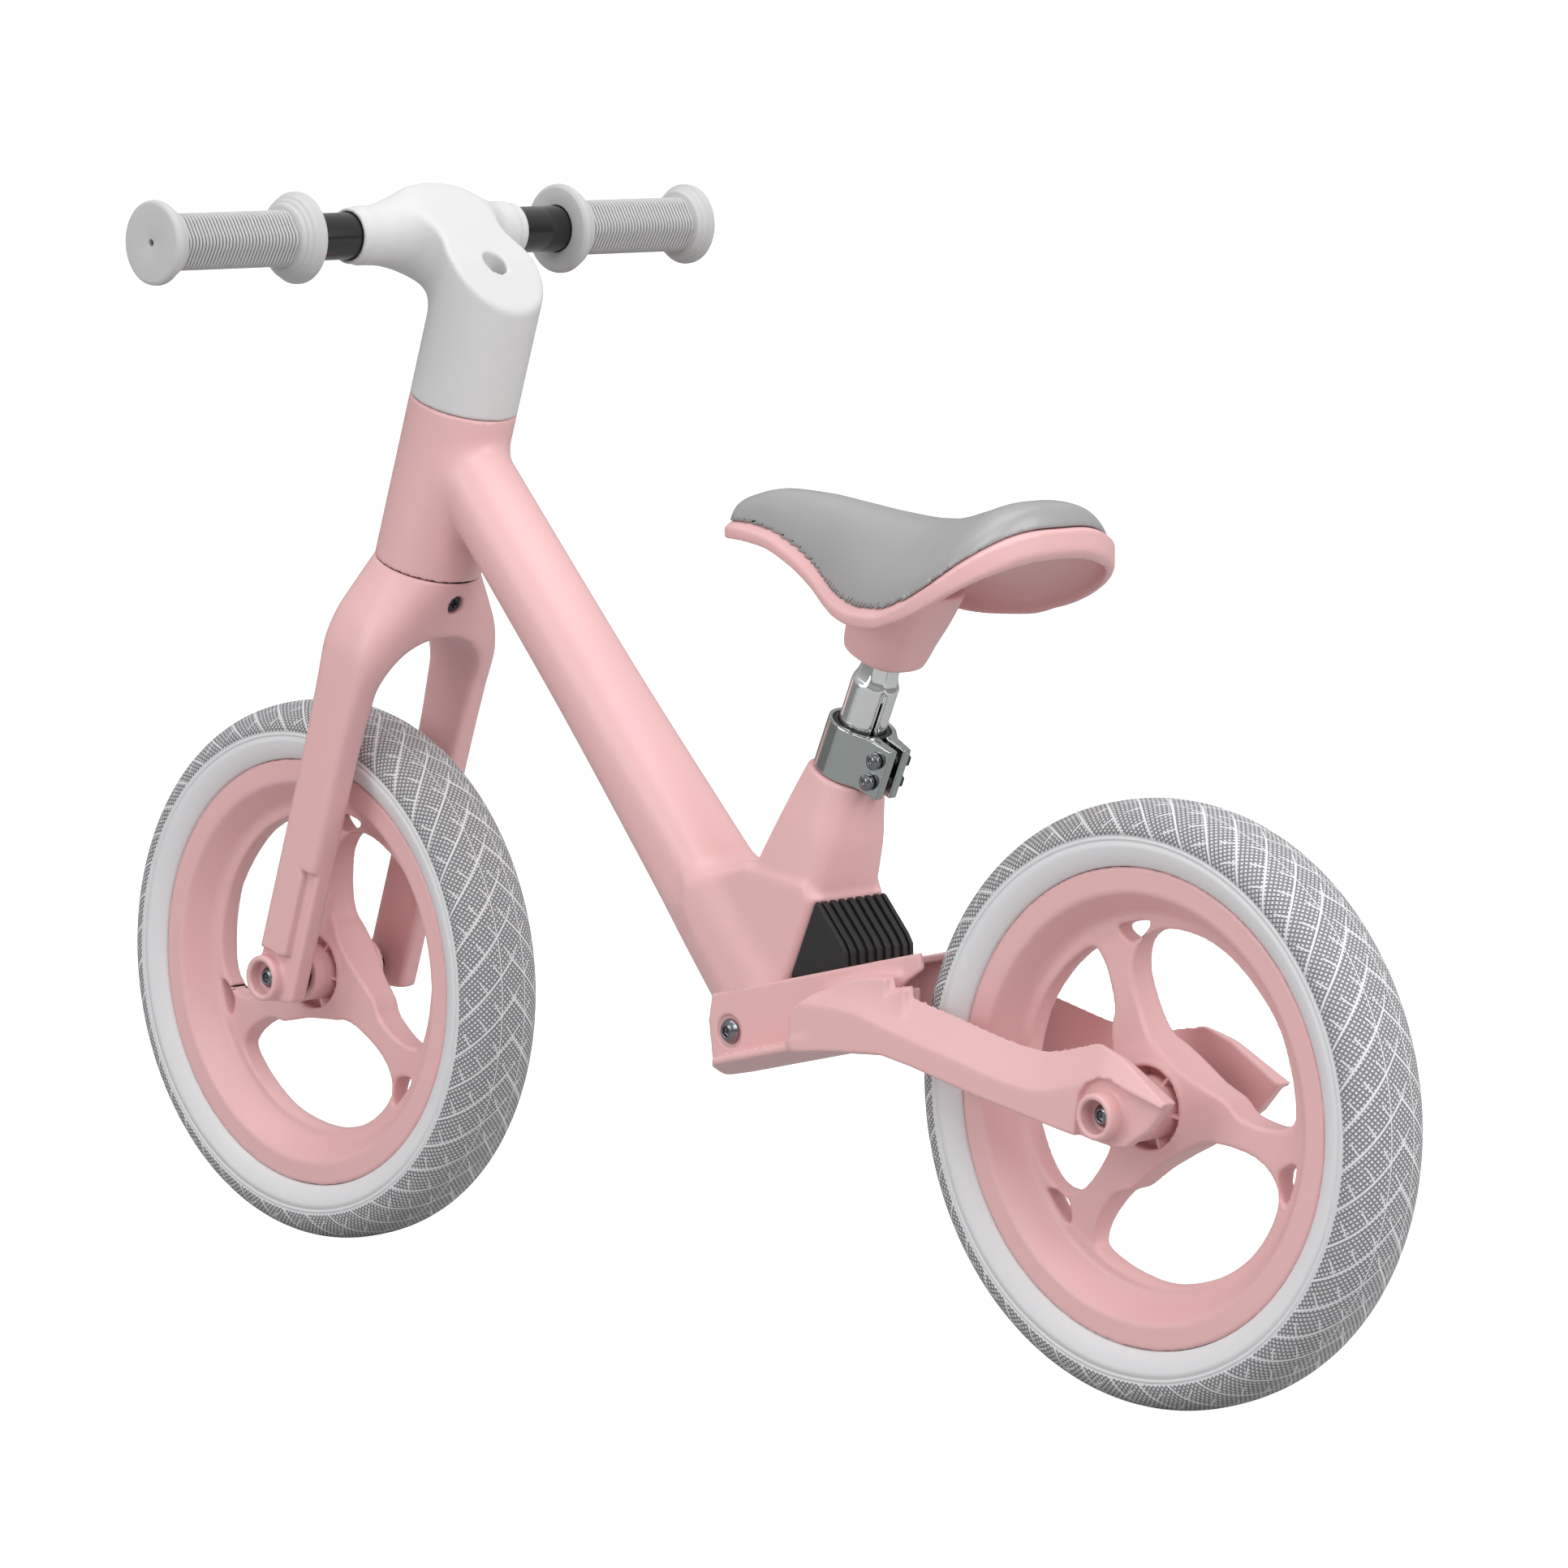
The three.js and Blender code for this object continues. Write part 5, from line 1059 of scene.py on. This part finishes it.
def build_wheel(prefix, hub, first_spoke):
    body = prefix + "_wheel"
    reach = RIM_RADIUS + 1
    low, high = (-reach, -26, -reach), (reach, 26, reach)
    rim = cast(prefix + "_rim_casting", rim_field(first_spoke), low, high, 1.6, PAINT, hub)
    fit(rim, body, prefix + "_rim", slot="frame_paint")
    turn = Matrix.Rotation(math.radians(90), 4, "X") @ Matrix.Rotation(math.radians(8), 4, "Z")
    centre = Matrix.Translation(Vector(hub.centre) * MM)
    ribs = grown(prefix + "_hub_ribs", HUB_RIBS, centre @ turn)
    fit(ribs, body, slot="frame_paint")
    profile = tyre_profile()
    length = run_length(np.vstack([profile, profile[:1]]))
    crown = length[np.argmax(profile[:, 0])]
    tyre = lathe_y(prefix + "_tyre_foam", profile, hub.centre, TYRE, 192, uv=length - crown)
    fit(tyre, body, prefix + "_tyre", slot="tyre_foam")
    for side in (1, -1):
        bearing(prefix, side, hub, body)


# ---------------------------------------------------------------- fasteners
def hexagon(u, v, across):
    """Distance to a hexagon by its width across the flats."""
    sector = (np.arctan2(v, u) + math.pi / 6) % (math.pi / 3) - math.pi / 6
    return np.hypot(u, v) * np.cos(sector) - across / 2


def button_head(p, radius, height, socket):
    """A domed head standing on y = 0, with a hexagonal socket."""
    dome_radius = (radius**2 + height**2) / (2 * height) * 1.04
    r = np.hypot(p[:, 0], p[:, 2])
    dome = np.hypot(r, p[:, 1] - (height - dome_radius)) - dome_radius
    body = keep(0.5, dome, r - radius, -p[:, 1])
    recess = hexagon(p[:, 0], p[:, 2], socket)
    return cut(0.35, body, thick(recess, p[:, 1], height * 0.3, height + 9, 0))


def build_bolt(name, body, centre, seat_y, radius, height, socket, tail_y):
    def bolt(p):
        head = button_head(p - np.array([0, seat_y + 0.3, 0]), radius, height, socket)
        return add(0.3, head, bar_y(p, BOLT_RADIUS, tail_y, seat_y + 0.8, 0, 0, 0.5))

    low, high = (-radius, tail_y, -radius), (radius, seat_y + height + 0.4, radius)
    obj = cast(name + "_turned", bolt, low, high, 0.55, ZINC, Shift((centre[0], 0, centre[2])))
    fit(obj, body, name, slot="bolt_steel")


def build_nut(name, body, centre, y0, y1):
    def nut(p):
        blank = thick(hexagon(p[:, 0], p[:, 2], NUT_ACROSS), p[:, 1], y0, y1, 0.4)
        return cut(0.5, blank, bar_y(p, AXLE_BORE, y0 - 9, y1 + 9, 0, 0, 0))

    reach = NUT_ACROSS * 0.6
    low, high = (-reach, y0, -reach), (reach, y1, reach)
    obj = cast(name + "_forged", nut, low, high, 0.55, ZINC, Shift((centre[0], 0, centre[2])))
    fit(obj, body, name)


def ring_piece(name, node, body, centre, inner, outer, y0, y1, material):
    profile = rounded([(inner, y0), (outer, y0), (outer, y1), (inner, y1)], 0.5, 3)
    obj = lathe_y(name, profile, (centre[0], 0, centre[2]), material, 48)
    fit(obj, body, node)


def build_axle(prefix, hub, body, inner_y):
    centre = hub.centre
    build_bolt(prefix + "_axle_bolt", body, centre, BOSS_SEAT_Y, 6.2, 4.4, 5.2, -BOSS_SEAT_Y - 6.4)
    build_nut(prefix + "_axle_nut", body, centre, -BOSS_SEAT_Y - 5.3, -BOSS_SEAT_Y - 0.3)
    for side, node in ((1, "left"), (-1, "right")):
        y0, y1 = sorted((side * (BEARING_FACE_Y + 0.3), side * (inner_y - 0.3)))
        node = f"{prefix}_spacer_{node}"
        sizes = (AXLE_BORE, SLEEVE_RADIUS, y0, y1)
        ring_piece(node + "_sleeve", node, body, centre, *sizes, BLACK_PLASTIC)
    name, node = prefix + "_axle_tube", prefix + "_axle_sleeve"
    ring_piece(name, node, body, centre, AXLE_BORE, SLEEVE_RADIUS, -17, 17, ZINC)


def build_pivot():
    seat_y = TROUGH_OUTER_Y - 1.6
    build_bolt("pivot_bolt", "arm", PIVOT, seat_y, 6.7, 4.6, 5.2, -seat_y - 5.2)
    build_nut("pivot_nut", "arm", PIVOT, -seat_y - 4.6, -seat_y - 0.3)
    sizes = (AXLE_BORE, SLEEVE_RADIUS, -26.6, 26.6)
    ring_piece("pivot_sleeve_tube", "pivot_sleeve", "arm", PIVOT, *sizes, ZINC)
    for side, node in ((1, "pivot_bush_left"), (-1, "pivot_bush_right")):
        outer = [(6.35, 8), (7.9, 8), (7.9, 23.8), (9.5, 23.8), (9.5, 25.7), (6.35, 25.7)]
        profile = rounded(outer, 0.3, 2)
        centre = (PIVOT[0], 0, PIVOT[2])
        obj = lathe_y(node + "_flanged", profile, centre, BLACK_PLASTIC, 48, flip=side < 0)
        fit(obj, "frame", node, slot="black_plastic")


def build_crown_screw():
    def screw(q):
        head = bar_x(q, 4.4, -26.2, -23.3, CROWN_SCREW_Z, 0.7)
        across, up = np.abs(q[:, 1]), np.abs(q[:, 2] - CROWN_SCREW_Z)
        slots = [
            thick(np.maximum(across - a, up - b), q[:, 0], -40, -24.8, 0)
            for a, b in ((2.5, 0.5), (0.5, 2.5))
        ]
        return add(0.2, cut(0.3, head, *slots), bar_x(q, 2.5, -24, -9.5, CROWN_SCREW_Z, 0.2))

    obj = cast("crown_screw_turned", screw, (-27, -5, 227), (-9, 5, 237), 0.35, BLACK_STEEL, STEER)
    fit(obj, "steering", "crown_screw", slot="black_steel")


def build_stem_hardware():
    top = BAR[2] - 23

    def bolt(q):
        head = bar_z(q, 6.2, top + 1.3, top + 8, 0.8)
        socket = thick(hexagon(q[:, 0], q[:, 1], 5.2), q[:, 2], top + 4, top + 12, 0)
        return add(0.2, cut(0.3, head, socket), bar_z(q, 3.5, HEAD_TOP - 20, top + 2, 0.4))

    low, high = (-7, -7, HEAD_TOP - 20), (7, 7, top + 8)
    obj = cast("stem_bolt_turned", bolt, low, high, 0.6, BLACK_STEEL, STEER)
    fit(obj, "steering", "stem_bolt", slot="black_steel")


# ---------------------------------------------------------------- seat clamp and post
def clamp(q):
    band = bar_z(q, 17.75, 0.3, CLAMP_HEIGHT, 0.5)
    ears = thick(outline(q[:, 0], q[:, 1], [
        (0, 17.6), (-9, 15.6), (-17.6, 9.6), (-30, 7.6),
        (-30, -7.6), (-17.6, -9.6), (-9, -15.6), (0, -17.6),
    ]), q[:, 2], 0.3, CLAMP_HEIGHT, 0.5)
    body = add(1.5, band, ears)
    slot = np.maximum(np.abs(q[:, 1]) - 2.3, q[:, 0])
    body = cut(0.7, body, bar_z(q, 15.45, -9, 60, 0), slot)
    for z in CLAMP_BOLT_HEIGHTS.values():
        body = cut(0.4, body, bar_y(q, 2.85, -40, 40, CLAMP_BOLT_X, z, 0))
    return body


def build_clamp():
    low, high = (-31, -18.5, 0), (18.5, 18.5, CLAMP_HEIGHT)
    obj = cast("seat_clamp_band", clamp, low, high, 0.8, POLISHED, SEAT)
    fit(obj, "frame", "seat_clamp", slot="polished_steel")
    seat_y = 8.9
    for which, z in CLAMP_BOLT_HEIGHTS.items():
        def bolt(q, z=z):
            p = q - np.array([CLAMP_BOLT_X, seat_y, z])
            shoulder = bar_y(p, 4.3, 0.2, 3, 0, 0, 0.4)
            head = cut(0.3, shoulder, thick(np.hypot(p[:, 0], p[:, 2]) - 2.5, p[:, 1], 1.6, 9, 0))
            head = add(0.2, head, button_head(p - np.array([0, 2.2, 0]), 4.3, 2.4, 3.1))
            return add(0.2, head, bar_y(p, 2.5, -22.4, 1, 0, 0, 0.3))

        low, high = (-28.5, seat_y - 23, z - 5), (-18.5, seat_y + 5.2, z + 5)
        obj = cast(f"clamp_bolt_{which}_turned", bolt, low, high, 0.45, ZINC, SEAT)
        fit(obj, "frame", "clamp_bolt_" + which, slot="bolt_steel")

        def nut(q, z=z):
            p = q - np.array([CLAMP_BOLT_X, -seat_y, z])
            blank = thick(hexagon(p[:, 0], p[:, 2], 8), p[:, 1], -3.6, -0.3, 0.4)
            return cut(0.3, blank, bar_y(p, 2.85, -40, 9, 0, 0, 0))

        low, high = (-28.5, -seat_y - 4, z - 5), (-18.5, -seat_y, z + 5)
        obj = cast(f"clamp_nut_{which}_forged", nut, low, high, 0.45, BLACK_STEEL, SEAT)
        fit(obj, "frame", "clamp_nut_" + which, slot="black_steel")

    def shim(q):
        return cut(0.3, bar_z(q, 15.2, 25, 27.6, 0.4), bar_z(q, POST_BORE, 0, 60, 0))

    obj = cast("seat_post_shim_ring", shim, (-16, -16, 24.8), (16, 16, 28), 0.6, BLACK_PLASTIC, SEAT)
    fit(obj, "frame", "seat_post_shim", slot="black_plastic")


def seat_post(q):
    body = bar_z(q, 12.5, -72, 66, 0.5)
    pinch = curve(q[:, 2], [(-72, 30), (49, 30), (51.5, 12.3), (58, 9.8), (66, 9)])
    flats = np.maximum(np.abs(q[:, 1]), np.abs(q[:, 0])) - pinch
    diagonal = (np.abs(q[:, 0]) + np.abs(q[:, 1])) / math.sqrt(2) - pinch * 1.03
    body = keep(0.6, body, flats, diagonal)
    body = add(0.3, body, bar_z(q, 9, 58, 77, 0.5))
    groove = keep(0.2, np.abs(q[:, 1] - 3.6) - 0.75, q[:, 0] + 10.6, q[:, 2] - 50, 20 - q[:, 2])
    return cut(0.5, body, groove, bar_z(q, 10.5, -80, 46, 0.5), bar_z(q, 3.35, 30, 90, 0))


def build_seat_post():
    obj = cast("seat_post_tube", seat_post, (-13, -13, -72), (13, 13, 77), 0.9, CHROME, SEAT)
    fit(obj, "seat", "seat_post", slot="chrome")


# ---------------------------------------------------------------- saddle
RIM_LINE = [
    # x, half width, height of the rim's top edge
    (-9.2, 0.5, 415.6), (-10.5, 6, 415.9), (-14, 12, 416.4), (-27, 19, 417), (-50, 23, 415),
    (-75, 27, 407), (-95, 31.5, 397.4), (-110, 37.5, 389.8), (-125, 44.5, 384.9),
    (-145, 52.5, 382.5), (-165, 58.5, 383.2), (-185, 62.2, 388.8), (-200, 63, 396),
    (-213, 61.5, 404.5), (-225, 54.5, 413.9), (-233, 43.5, 420.6), (-238, 29, 425.4),
    (-240.5, 13, 427.6), (-240.9, 0.5, 427.8),
]
CREST_LINE = [
    (-9.2, 417), (-10.5, 420.6), (-14, 425.4), (-27, 432.6), (-50, 437), (-75, 436),
    (-100, 433), (-125, 429.6), (-150, 427.6), (-165, 428), (-185, 431), (-205, 436.2),
    (-222, 440.4), (-232, 439.4), (-238, 434.4), (-240.9, 428.4),
]


def saddle_lines(count):
    """The rim's x, half width and height, with the crest over it, evenly along the rim."""
    keys = np.array(RIM_LINE, float)
    s = run_length(RIM_LINE)
    even = np.linspace(0, s[-1], count)
    x, half, rim = (curve(even, np.stack([s, keys[:, i]], 1)) for i in range(3))
    crest = curve(-x, [(-cx, cz) for cx, cz in CREST_LINE])
    return x, half, rim, crest


X_ORDER = np.argsort(saddle_lines(240)[0])
SADDLE_X, SADDLE_HALF, SADDLE_RIM, SADDLE_CREST = (line[X_ORDER] for line in saddle_lines(240))
PLAN = np.concatenate([
    np.stack([SADDLE_X, SADDLE_HALF], 1)[::6], np.stack([SADDLE_X, -SADDLE_HALF], 1)[::-6],
])
PAD_INSET = 2.2
SHEET = 3.8


def saddle_heights(p):
    """Where a point is across the saddle, with the rim's and the crest's heights there."""
    lines = (SADDLE_HALF, SADDLE_RIM, SADDLE_CREST)
    half, rim, crest = (np.interp(p[:, 0], SADDLE_X, line) for line in lines)
    share = np.clip(np.abs(p[:, 1]) / np.maximum(half, 1), 0, 1)
    return share, rim, crest


def pad_seat(share, rim, crest):
    return rim - 1.9 + (crest - rim) * 0.46 * (1 - share**4)


def pad_field(p):
    plan = outline(p[:, 0], p[:, 1], PLAN) + PAD_INSET
    share, rim, crest = saddle_heights(p)
    cover = (p[:, 2] - rim - (crest - rim) * (1 - share**2.7)) * 0.8
    floor = (pad_seat(share, rim, crest) + 0.4 - p[:, 2]) * 0.9
    return keep(1, keep(6, plan, cover), floor)


def shell_field(p):
    plan = outline(p[:, 0], p[:, 1], PLAN)
    share, rim, crest = saddle_heights(p)
    lip = 6.6 + 5.4 * np.clip((-p[:, 0] - 180) / 50, 0, 1)
    seat = pad_seat(share, rim, crest)
    above = (p[:, 2] - rim - 0.3 - np.maximum(seat - rim, 0)) * 0.9
    body = keep(2.2, plan, above, (rim - lip - p[:, 2]) * 0.9)
    body = cut(1.5, body, keep(1, plan + 5, (p[:, 2] - seat + SHEET) * 0.9))
    q = SEAT.local(p)
    stations = [
        (65, 0.6, 16, 17.2, 2.6), (68, 0.6, 19, 20.2, 2.6), (80, 0.3, 20.8, 23, 2.6),
        (94, -0.6, 23, 25.6, 2.6), (112, -1.6, 25, 28, 2.5),
    ]
    bracket = swept(q[:, 0], q[:, 1], q[:, 2], stations, 1.6)
    body = add(4, body, keep(1, bracket, (p[:, 2] - seat + 1) * 0.9))
    bed = np.maximum(plan + PAD_INSET - 0.3, (seat - p[:, 2]) * 0.9)
    body = cut(0.8, body, bed, bar_z(q, 9.3, 30, 77.3, 0), bar_z(q, 13.3, 30, 66, 0))
    past_end = np.maximum(np.abs(p[:, 0] + 196) - 5, 0)
    slots = [thick(np.hypot(past_end, p[:, 1] - y) - 2.6, p[:, 2], 340, 400, 0) for y in (36, -36)]
    return cut(0.8, body, *[np.maximum(slot, p[:, 2] - seat + SHEET - 1.2) for slot in slots])


def build_saddle():
    low, high = (-242, -64, 344), (-8, 64, 442)
    pad = cast("saddle_cushion", pad_field, low, high, 1.3, PAD)
    fit(pad, "seat", "saddle_pad", slot="pad_fabric")
    shell = cast("saddle_base", shell_field, low, high, 1.3, SHELL)
    fit(shell, "seat", "saddle_shell", slot="shell_plastic")


# ---------------------------------------------------------------- chassis and stays
STAY = [
    (-100, 157), (-96, 160), (-96, 176), (-100, 180), (-110, 187), (-128, 194),
    (-146.7, 198.7), (-158.6, 199.7),
    (-175, 198), (-191.2, 194.8), (-225.9, 187.8), (-260.6, 181.4), (-272, 180.3), (-282.4, 180.9),
    (-302.2, 183.4), (-320, 177.9), (-350.7, 160.1), (-337.8, 145.3), (-323, 135.4), (-315.1, 134.4),
    (-282.4, 139.3), (-221, 150.2), (-181.3, 158.6), (-159.5, 162), (-130, 160),
]
BEVEL = [
    (125, 182), (140, 181), (165, 175.4), (200, 168), (265, 157), (290, 162), (310, 168), (352, 158),
]


def stay(p, side):
    y = p[:, 1] * side
    flat = outline(p[:, 0], p[:, 2], STAY)
    body = thick(flat, y, STAY_INNER_Y, STAY_OUTER_Y, 1.2)
    crease = curve(-p[:, 0], BEVEL)
    upper = (y - STAY_OUTER_Y + 0.5 * (p[:, 2] - crease)) * 0.89
    body = keep(0.6, body, upper)
    pocket = keep(2, outline(p[:, 0], p[:, 2], [
        (-290, 120), (-293, 140), (-295, 158), (-300, 164.5), (-308, 168), (-316, 167.6), (-325, 164),
        (-349, 157.5), (-372, 150), (-372, 120),
    ]), STAY_OUTER_Y - 3.4 - y)
    return cut(1, body, pocket)


def chassis(p):
    side_y = np.abs(p[:, 1])
    wall = plate(np.stack([p[:, 0], side_y, p[:, 2]], 1), [
        (-23.4, 174.8), (-23, 176), (-172, 213), (-174, 205), (-152, 190), (-150, 168), (-118, 160),
        (-24, 141), (-21, 162),
    ], TROUGH_INNER_Y, TROUGH_OUTER_Y, 0.9)
    front = [v for v in STAY if v[0] > -170] + [(-172, 163), (-172, 196)]
    root = thick(outline(p[:, 0], p[:, 2], front), side_y, 29, 41, 1)
    spread = curve(-p[:, 0], [(92, 30), (104, 33), (116, 39), (128, 44.5), (140, 47), (175, 47)])
    fan = keep(9, root, side_y - spread)
    over = p[:, 2] - plate_top(p[:, 0])
    depth = curve(side_y, [(0, 10.5), (20, 10), (46, 3.9)])
    plan = outline(p[:, 0], side_y, [
        (-160, -9), (-160, 34), (-112, 44), (-106, 46),
        (-40, 46), (-35, 41.5), (-20.5, 14), (-20.5, -9),
    ])
    step = keep(1.4, np.maximum(over, -over - depth) * 0.95, plan)
    deck = plate(p, [
        (-82, seam_height(-82) - 1.5), (-158, seam_height(-158) - 1.5), (-158, seam_height(-158) - 5.5),
        (-82, seam_height(-82) - 5.5),
    ], -28.5, 28.5, 0.8)
    bulkhead = plate(p, [(-144, 205), (-139.5, 204), (-139.5, 168), (-144, 169)], -28.5, 28.5, 0.8)
    body = add(2, wall, add(2, step, deck, bulkhead))
    return add(7, body, fan)


def swingarm(p):
    body = add(5, chassis(p), stay(p, 1), stay(p, -1))
    hub_x, hub_z = REAR_HUB.centre[0], REAR_HUB.centre[2]
    for side in (1, -1):
        span = sorted((side * (STAY_INNER_Y + 0.5), side * 53.5))
        body = add(1.6, body, bar_y(p, 11.5, *span, hub_x, hub_z, 1.2))
    tools = [
        bar_y(p, 8.5, BOSS_SEAT_Y, 70, hub_x, hub_z, 0),
        bar_y(p, 8.5, -70, -BOSS_SEAT_Y, hub_x, hub_z, 0),
        bar_y(p, AXLE_BORE, -80, 80, hub_x, hub_z, 0),
        bar_y(p, 8.6, TROUGH_OUTER_Y - 1.6, 70, PIVOT[0], PIVOT[2], 0),
        bar_y(p, 8.6, -70, 1.6 - TROUGH_OUTER_Y, PIVOT[0], PIVOT[2], 0),
        bar_y(p, AXLE_BORE, -80, 80, PIVOT[0], PIVOT[2], 0),
    ]
    return cut(0.8, body, *tools)


def studs_tree():
    """Rows of low round studs over the footrests."""
    tree, nodes, links, size = new_tree("footrest_studs", {
        "Length": 50 * MM,
        "Width": 9 * MM,
        "Along": 8,
        "Across": 2,
        "Stud radius": 1.5 * MM,
    })
    grid = nodes.new("GeometryNodeMeshGrid")
    for label, socket in (
        ("Length", "Size X"), ("Width", "Size Y"), ("Along", "Vertices X"), ("Across", "Vertices Y"),
    ):
        links.new(size[label], grid.inputs[socket])
    stud = nodes.new("GeometryNodeMeshUVSphere")
    stud.inputs["Segments"].default_value = 12
    stud.inputs["Rings"].default_value = 8
    links.new(size["Stud radius"], stud.inputs["Radius"])
    place, _ = repeat_on(tree, grid.outputs["Mesh"], stud.outputs["Mesh"], PAINT)
    place.inputs["Scale"].default_value = (1, 1, 0.6)
    return tree


def build_swingarm():
    obj = cast("swingarm_casting", swingarm, (-352, -54, 128), (-20, 54, 214), 1.25, PAINT)
    fit(obj, "arm", "swingarm", slot="frame_paint")
    tree = studs_tree()
    tilt = Matrix.Rotation(math.atan(CHASSIS_SLOPE), 4, "Y")
    for side, word in ((1, "left"), (-1, "right")):
        spot = Vector((-72, side * 38.6, plate_top(-72) + 0.1)) * MM
        studs = grown("footrest_studs_" + word, tree, Matrix.Translation(spot) @ tilt)
        fit(studs, "arm", slot="frame_paint")


# ---------------------------------------------------------------- rubber block
def rubber_block(p):
    points = [
        (-80.6, seam_height(-80.6) - 1.1), (-75.6, 190.6), (-93.4, 230.4), (-95.5, 229.4),
        (-111.5, 211.5), (-114.6, 206.5), (-115.2, seam_height(-115.2) - 1.1),
    ]
    body = plate(p, points, -25, 25, 0.7)
    pitch = 6.3
    across = np.abs((p[:, 1] / pitch + 0.5) % 1 - 0.5) * pitch
    rows = keep(0.6, 1.75 - across, np.abs(p[:, 1]) - 22.4)
    skin = outline(p[:, 0], p[:, 2], [
        (-92.4, 234), (-92, 229), (-109.4, 209.8), (-112.2, 205.6), (-113, 190),
        (-124, 190), (-124, 234),
    ])
    return cut(0.6, body, keep(0.5, skin, rows))


def build_block():
    obj = cast("suspension_rubber", rubber_block, (-121, -26, 188), (-74, 26, 232), 0.8, BLACK_RUBBER)
    fit(obj, "arm", "suspension_block", slot="black_rubber")
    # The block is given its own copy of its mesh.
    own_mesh(obj)


# ---------------------------------------------------------------- nodes kept as they are
def dress_nodes():
    for node in ("steerer_tube", "stem_washer", "stem_expander", "saddle_screw"):
        obj = frame["nodes"][node]
        obj.data.materials.clear()
        obj.data.materials.append(ZINC)


# ---------------------------------------------------------------- studio
def build_floor():
    """A matte floor that gives back little light to the bike but shows as plain white."""
    reach = 600.0
    corners = [(-reach, -reach), (reach, -reach), (reach, reach), (-reach, reach)]
    points = np.array([(x, y, -0.0004) for x, y in corners])
    white = finish_material("white_floor", (0.42, 0.42, 0.42), (0.41, 0.41, 0.41), (0.8, 0.9), 60, 0.01)
    nodes, links = white.node_tree.nodes, white.node_tree.links
    surface = nodes["Principled BSDF"]
    surface.inputs["Emission Color"].default_value = (1, 1, 1, 1)
    seen = nodes.new("ShaderNodeLightPath").outputs["Is Camera Ray"]
    links.new(seen, surface.inputs["Emission Strength"])
    mesh_object("studio_floor", points, np.array([[0, 1, 2, 3]]), white)


def area_light(name, location, size, power):
    data = bpy.data.lights.new(name, "AREA")
    data.shape = "RECTANGLE"
    data.size, data.size_y = size
    data.energy = power
    obj = bpy.data.objects.new(name, data)
    obj.location = location
    aim = Vector((0, 0, 0.28)) - Vector(location)
    obj.rotation_euler = aim.to_track_quat("-Z", "Y").to_euler()
    bpy.context.scene.collection.objects.link(obj)


def build_studio():
    """An even white room, its walls dimmer low down, with soft panels above and beside the camera."""
    world = bpy.data.worlds.new("studio")
    world.use_nodes = True
    nodes, links = world.node_tree.nodes, world.node_tree.links
    place = nodes.new("ShaderNodeTexCoord")
    parts = nodes.new("ShaderNodeSeparateXYZ")
    links.new(place.outputs["Generated"], parts.inputs["Vector"])
    level = nodes.new("ShaderNodeMapRange")
    level.inputs["From Min"].default_value = -0.1
    level.inputs["From Max"].default_value = 0.7
    level.inputs["To Min"].default_value = 0.22
    level.inputs["To Max"].default_value = 0.6
    links.new(parts.outputs["Z"], level.inputs["Value"])
    links.new(level.outputs["Result"], nodes["Background"].inputs["Strength"])
    nodes["Background"].inputs["Color"].default_value = (1, 1, 1, 1)
    bpy.context.scene.world = world
    bpy.context.scene.view_settings.view_transform = "Standard"
    area_light("key", (-2.1, 1.5, 2.5), (2.0, 2.0), 37)
    area_light("left", (0.6, 3.0, 1.4), (1.6, 1.8), 27)
    area_light("right", (-3.0, -0.9, 1.5), (1.6, 2.0), 42)
    area_light("top", (0.1, 0.0, 2.8), (2.2, 2.2), 24)


def build_camera():
    azimuth, elevation = math.radians(225.233), math.radians(7.012)
    distance = 3.349468
    target = Vector((-0.045616, 0, 0.284336))
    across = Vector((math.sin(azimuth), -math.cos(azimuth), 0))
    back = across * math.cos(elevation) + Vector((0, 0, math.sin(elevation)))
    data = bpy.data.cameras.new("camera")
    data.sensor_width = 36
    data.lens = 149.5
    data.clip_end = 2000
    obj = bpy.data.objects.new("camera", data)
    obj.location = target + back * distance
    obj.rotation_euler = back.to_track_quat("Z", "Y").to_euler()
    bpy.context.scene.collection.objects.link(obj)
    bpy.context.scene.camera = obj


# ---------------------------------------------------------------- the whole bike
build_main_frame()
build_head_bushes()
build_fork()
build_stem()
build_grips(build_handlebar())
build_wheel("front", FRONT_HUB, -32)
build_wheel("rear", REAR_HUB, -7)
build_axle("front", FRONT_HUB, "steering", BLADE_INNER_Y)
build_axle("rear", REAR_HUB, "arm", STAY_INNER_Y)
build_pivot()
build_crown_screw()
build_stem_hardware()
build_clamp()
build_seat_post()
build_saddle()
build_swingarm()
build_block()
dress_nodes()
build_floor()
build_studio()
build_camera()
